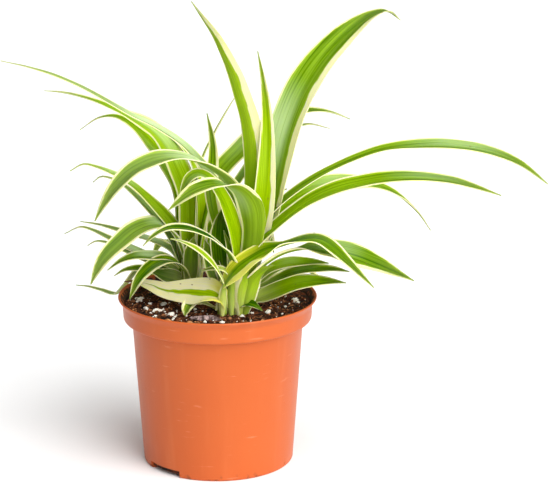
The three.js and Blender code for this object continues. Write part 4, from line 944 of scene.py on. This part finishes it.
def make_fibres(material):
    """Short bent fibres of peat and root on the soil"""
    bm = bmesh.new()
    tint = bm.verts.layers.float_color.new("tint")
    draw = random.Random(23)
    for x, y in scatter(draw, FIBRES, 5):
        length, radius = draw.uniform(3, 9), draw.uniform(0.09, 0.3)
        made = bmesh.ops.create_grid(bm, x_segments=4, y_segments=6, size=0.5)["verts"]
        for vert in made:
            turn = vert.co.x * math.tau
            thick = radius * (1 - 0.5 * (vert.co.y + 0.5)) * (abs(vert.co.y) < 0.49)
            vert.co = (thick * math.cos(turn), thick * math.sin(turn), vert.co.y * length)
        bmesh.ops.remove_doubles(bm, verts=made, dist=1e-4)
        verts = [vert for vert in made if vert.is_valid]
        angle, bend, lift = draw.uniform(0, 6.3), draw.uniform(-0.09, 0.09), draw.uniform(0, 0.12)
        shade = draw.choice((0.15, 0.4, 0.7, 0.9))
        for vert in verts:
            run = vert.co.z
            px = x + run * math.cos(angle) - (vert.co.x + bend * run * run) * math.sin(angle)
            py = y + run * math.sin(angle) + (vert.co.x + bend * run * run) * math.cos(angle)
            reach = math.hypot(px, py)
            if reach > SOIL_RADIUS - 0.8:
                px, py = px * (SOIL_RADIUS - 0.8) / reach, py * (SOIL_RADIUS - 0.8) / reach
            vert.co = (px, py, ground(px, py) + radius + 0.15 + vert.co.y + lift * (run + length / 2))
            vert[tint] = (shade, 0, 0, 1)
    to_metres(bm)
    piece(bm, "peat_fibres", material, crease=180)


# Perlite: x, y, length, width, height, turn. The large grains are the ten of the CAD.
GRAIN_HEIGHT = 99.3
LARGE_GRAINS = [
    (-36, -22.5, 6.2, 4.6, 3.6, 20), (-32, -8.5, 4.2, 3.8, 3.4, 70), (-46.5, 2.5, 4.6, 3.2, 2.8, 35),
    (-27.5, -29, 4.4, 3, 2.8, 10), (46.5, -1.5, 4.4, 3.4, 3, 15), (30, -24.5, 3.6, 2.8, 2.6, 60),
    (-42.5, -16.5, 3.8, 2.6, 2.6, 110), (14.5, -34.5, 4, 2.8, 2.6, 140), (24, 34, 4.6, 3.6, 3.2, 80),
    (-8, 42, 4, 3.4, 3, 30),
]
SMALL_GRAINS = [
    (48.4, -4.1, 2.6, 2, 1.8, 40), (-40.6, -6, 2.4, 2, 1.8, 10), (-18.7, -31, 2.2, 1.8, 1.6, 80),
    (-7.5, -43.5, 2.2, 1.6, 1.5, 30), (40.3, -14.2, 2.6, 2, 1.8, 100), (20.3, -28, 2, 1.6, 1.4, 0),
    (-13.5, -19, 2.4, 1.8, 1.6, 60), (2.5, -45.5, 3, 1.8, 1.6, 5),
]
CLUSTERS = LARGE_GRAINS[:4]
CLUSTER_BITS = 5
SCATTERED_BITS = 150


def perlite_bit(bm, draw, x, y, size, lift, rounds):
    sides = [size * draw.uniform(0.8, 1.3), size, size * draw.uniform(0.6, 0.9)]
    lump(bm, draw, x, y, ground(x, y) + lift, sides, draw.uniform(0, 6), rounds)


def make_perlite(material):
    """The large and small grains, bits that lie round some of the large ones, and scattered bits"""
    bm = bmesh.new()
    draw = random.Random(5)
    for x, y, *size, turn in LARGE_GRAINS:
        lump(bm, draw, x, y, GRAIN_HEIGHT, size, math.radians(turn), 3)
    for x, y, *size, turn in SMALL_GRAINS:
        lump(bm, draw, x, y, ground(x, y) + 0.3, size, math.radians(turn), 3)
    for x, y, length, width, *_ in CLUSTERS:
        for _ in range(CLUSTER_BITS):
            turn, size = draw.uniform(0, math.tau), draw.uniform(0.6, 1.7)
            near = (x + 0.75 * length * math.cos(turn), y + 0.85 * width * math.sin(turn))
            perlite_bit(bm, draw, *near, size, 0.4, 2)
    for x, y in scatter(draw, SCATTERED_BITS, 1.8):
        size = draw.uniform(0.4, 1.1) if draw.random() < 0.85 else draw.uniform(1.1, 1.9)
        perlite_bit(bm, draw, x, y, size, 0.35, 1)
    to_metres(bm)
    nodes = [f"perlite_{i + 1}" for i in range(len(LARGE_GRAINS))]
    piece(bm, "perlite_grains", material, nodes, crease=50)


ROOTSTOCK_AT = (-6.5, -38.2, 99.1)
ROOTSTOCK_HALVES = (9.5, 2.7, 2.1)
ROOTSTOCK_TURN = -9


def make_rootstock(material):
    """The dried piece of old rootstock at the front, with ringed ridges"""
    bm = bmesh.new()
    bmesh.ops.create_icosphere(bm, subdivisions=5, radius=1)
    turn = Matrix.Rotation(math.radians(ROOTSTOCK_TURN), 3, "Z")
    long, wide, high = ROOTSTOCK_HALVES
    for vert in bm.verts:
        x, y, z = vert.co
        swelling = math.sin(5 * x + ROOTSTOCK_AT[0]) * math.cos(4 * y + ROOTSTOCK_AT[1])
        bulge = 1 + 0.12 * swelling + 0.06 * math.sin(7 * z)
        flakes = noise.noise(Vector((x * 3, y * 5, z * 5)))
        fine_flakes = noise.noise(Vector((x * 9, y * 14, z * 14)))
        ridge = 1 + 0.05 * math.sin(34 * x) + 0.3 * flakes + 0.14 * fine_flakes
        x, y, z = vert.co * bulge
        vert.co = turn @ Vector((x * long, y * wide * ridge, z * high * ridge)) + Vector(ROOTSTOCK_AT)
    to_metres(bm)
    piece(bm, "dried_rootstock_piece", material, ["old_rootstock"], crease=60)


# Scene -------------------------------------------------------------------------------------------


# Suns: direction of the light, strength, and how many degrees across the sun is
SUNS = {
    "key": ((-0.8, 0.85, -0.85), 2.5, 60),
    "fill": ((-0.5, 0.88, -0.3), 1.6, 50),
    "top": ((-0.15, 0.25, -1), 1.6, 70),
}
SKY_STRENGTH = 0.22
FLOOR_SIZE = 6
LENS = 151.9
SENSOR = 36
LOOKS_DOWN = 15.5
LOOKS_RIGHT = 1.48


def make_floor():
    bm = bmesh.new()
    bmesh.ops.create_grid(bm, x_segments=2, y_segments=2, size=FLOOR_SIZE)
    piece(bm, "white_floor", floor_material(), stage=True)


def studio():
    """Soft suns, a white sky and the photo's camera"""
    scene = bpy.context.scene
    scene.view_settings.view_transform = "Standard"
    scene.world = bpy.data.worlds.new("soft_white")
    scene.world.use_nodes = True
    background = scene.world.node_tree.nodes["Background"]
    background.inputs["Color"].default_value = (1, 1, 1, 1)
    background.inputs["Strength"].default_value = SKY_STRENGTH
    for name, (direction, strength, degrees) in SUNS.items():
        light = bpy.data.lights.new(name, "SUN")
        light.energy = strength
        light.angle = math.radians(degrees)
        added(name, light).rotation_euler = Vector(direction).to_track_quat("-Z", "Y").to_euler()

    camera = bpy.data.cameras.new("camera")
    camera.lens = LENS
    camera.sensor_width = SENSOR
    viewer = added("camera", camera)
    viewer.location = EYE * MM
    viewer.rotation_euler = (math.radians(90 - LOOKS_DOWN), 0, math.radians(-LOOKS_RIGHT))
    scene.camera = viewer


green = leaf_material()
peat = peat_material()
make_pot(pot_material())
make_soil(peat)
make_crumbs(peat)
make_fibres(peat)
make_perlite(perlite_material())
make_rootstock(rootstock_material())
shoot("main_shoot", [MAIN_STEM, FRONT_STEM], MAIN_LEAVES, green, 3)
shoot("right_shoot", [RIGHT_STEM], RIGHT_LEAVES, green, 17)
shoot("left_shoot", [LEFT_STEM], LEFT_LEAVES, green, 29)
make_floor()
studio()
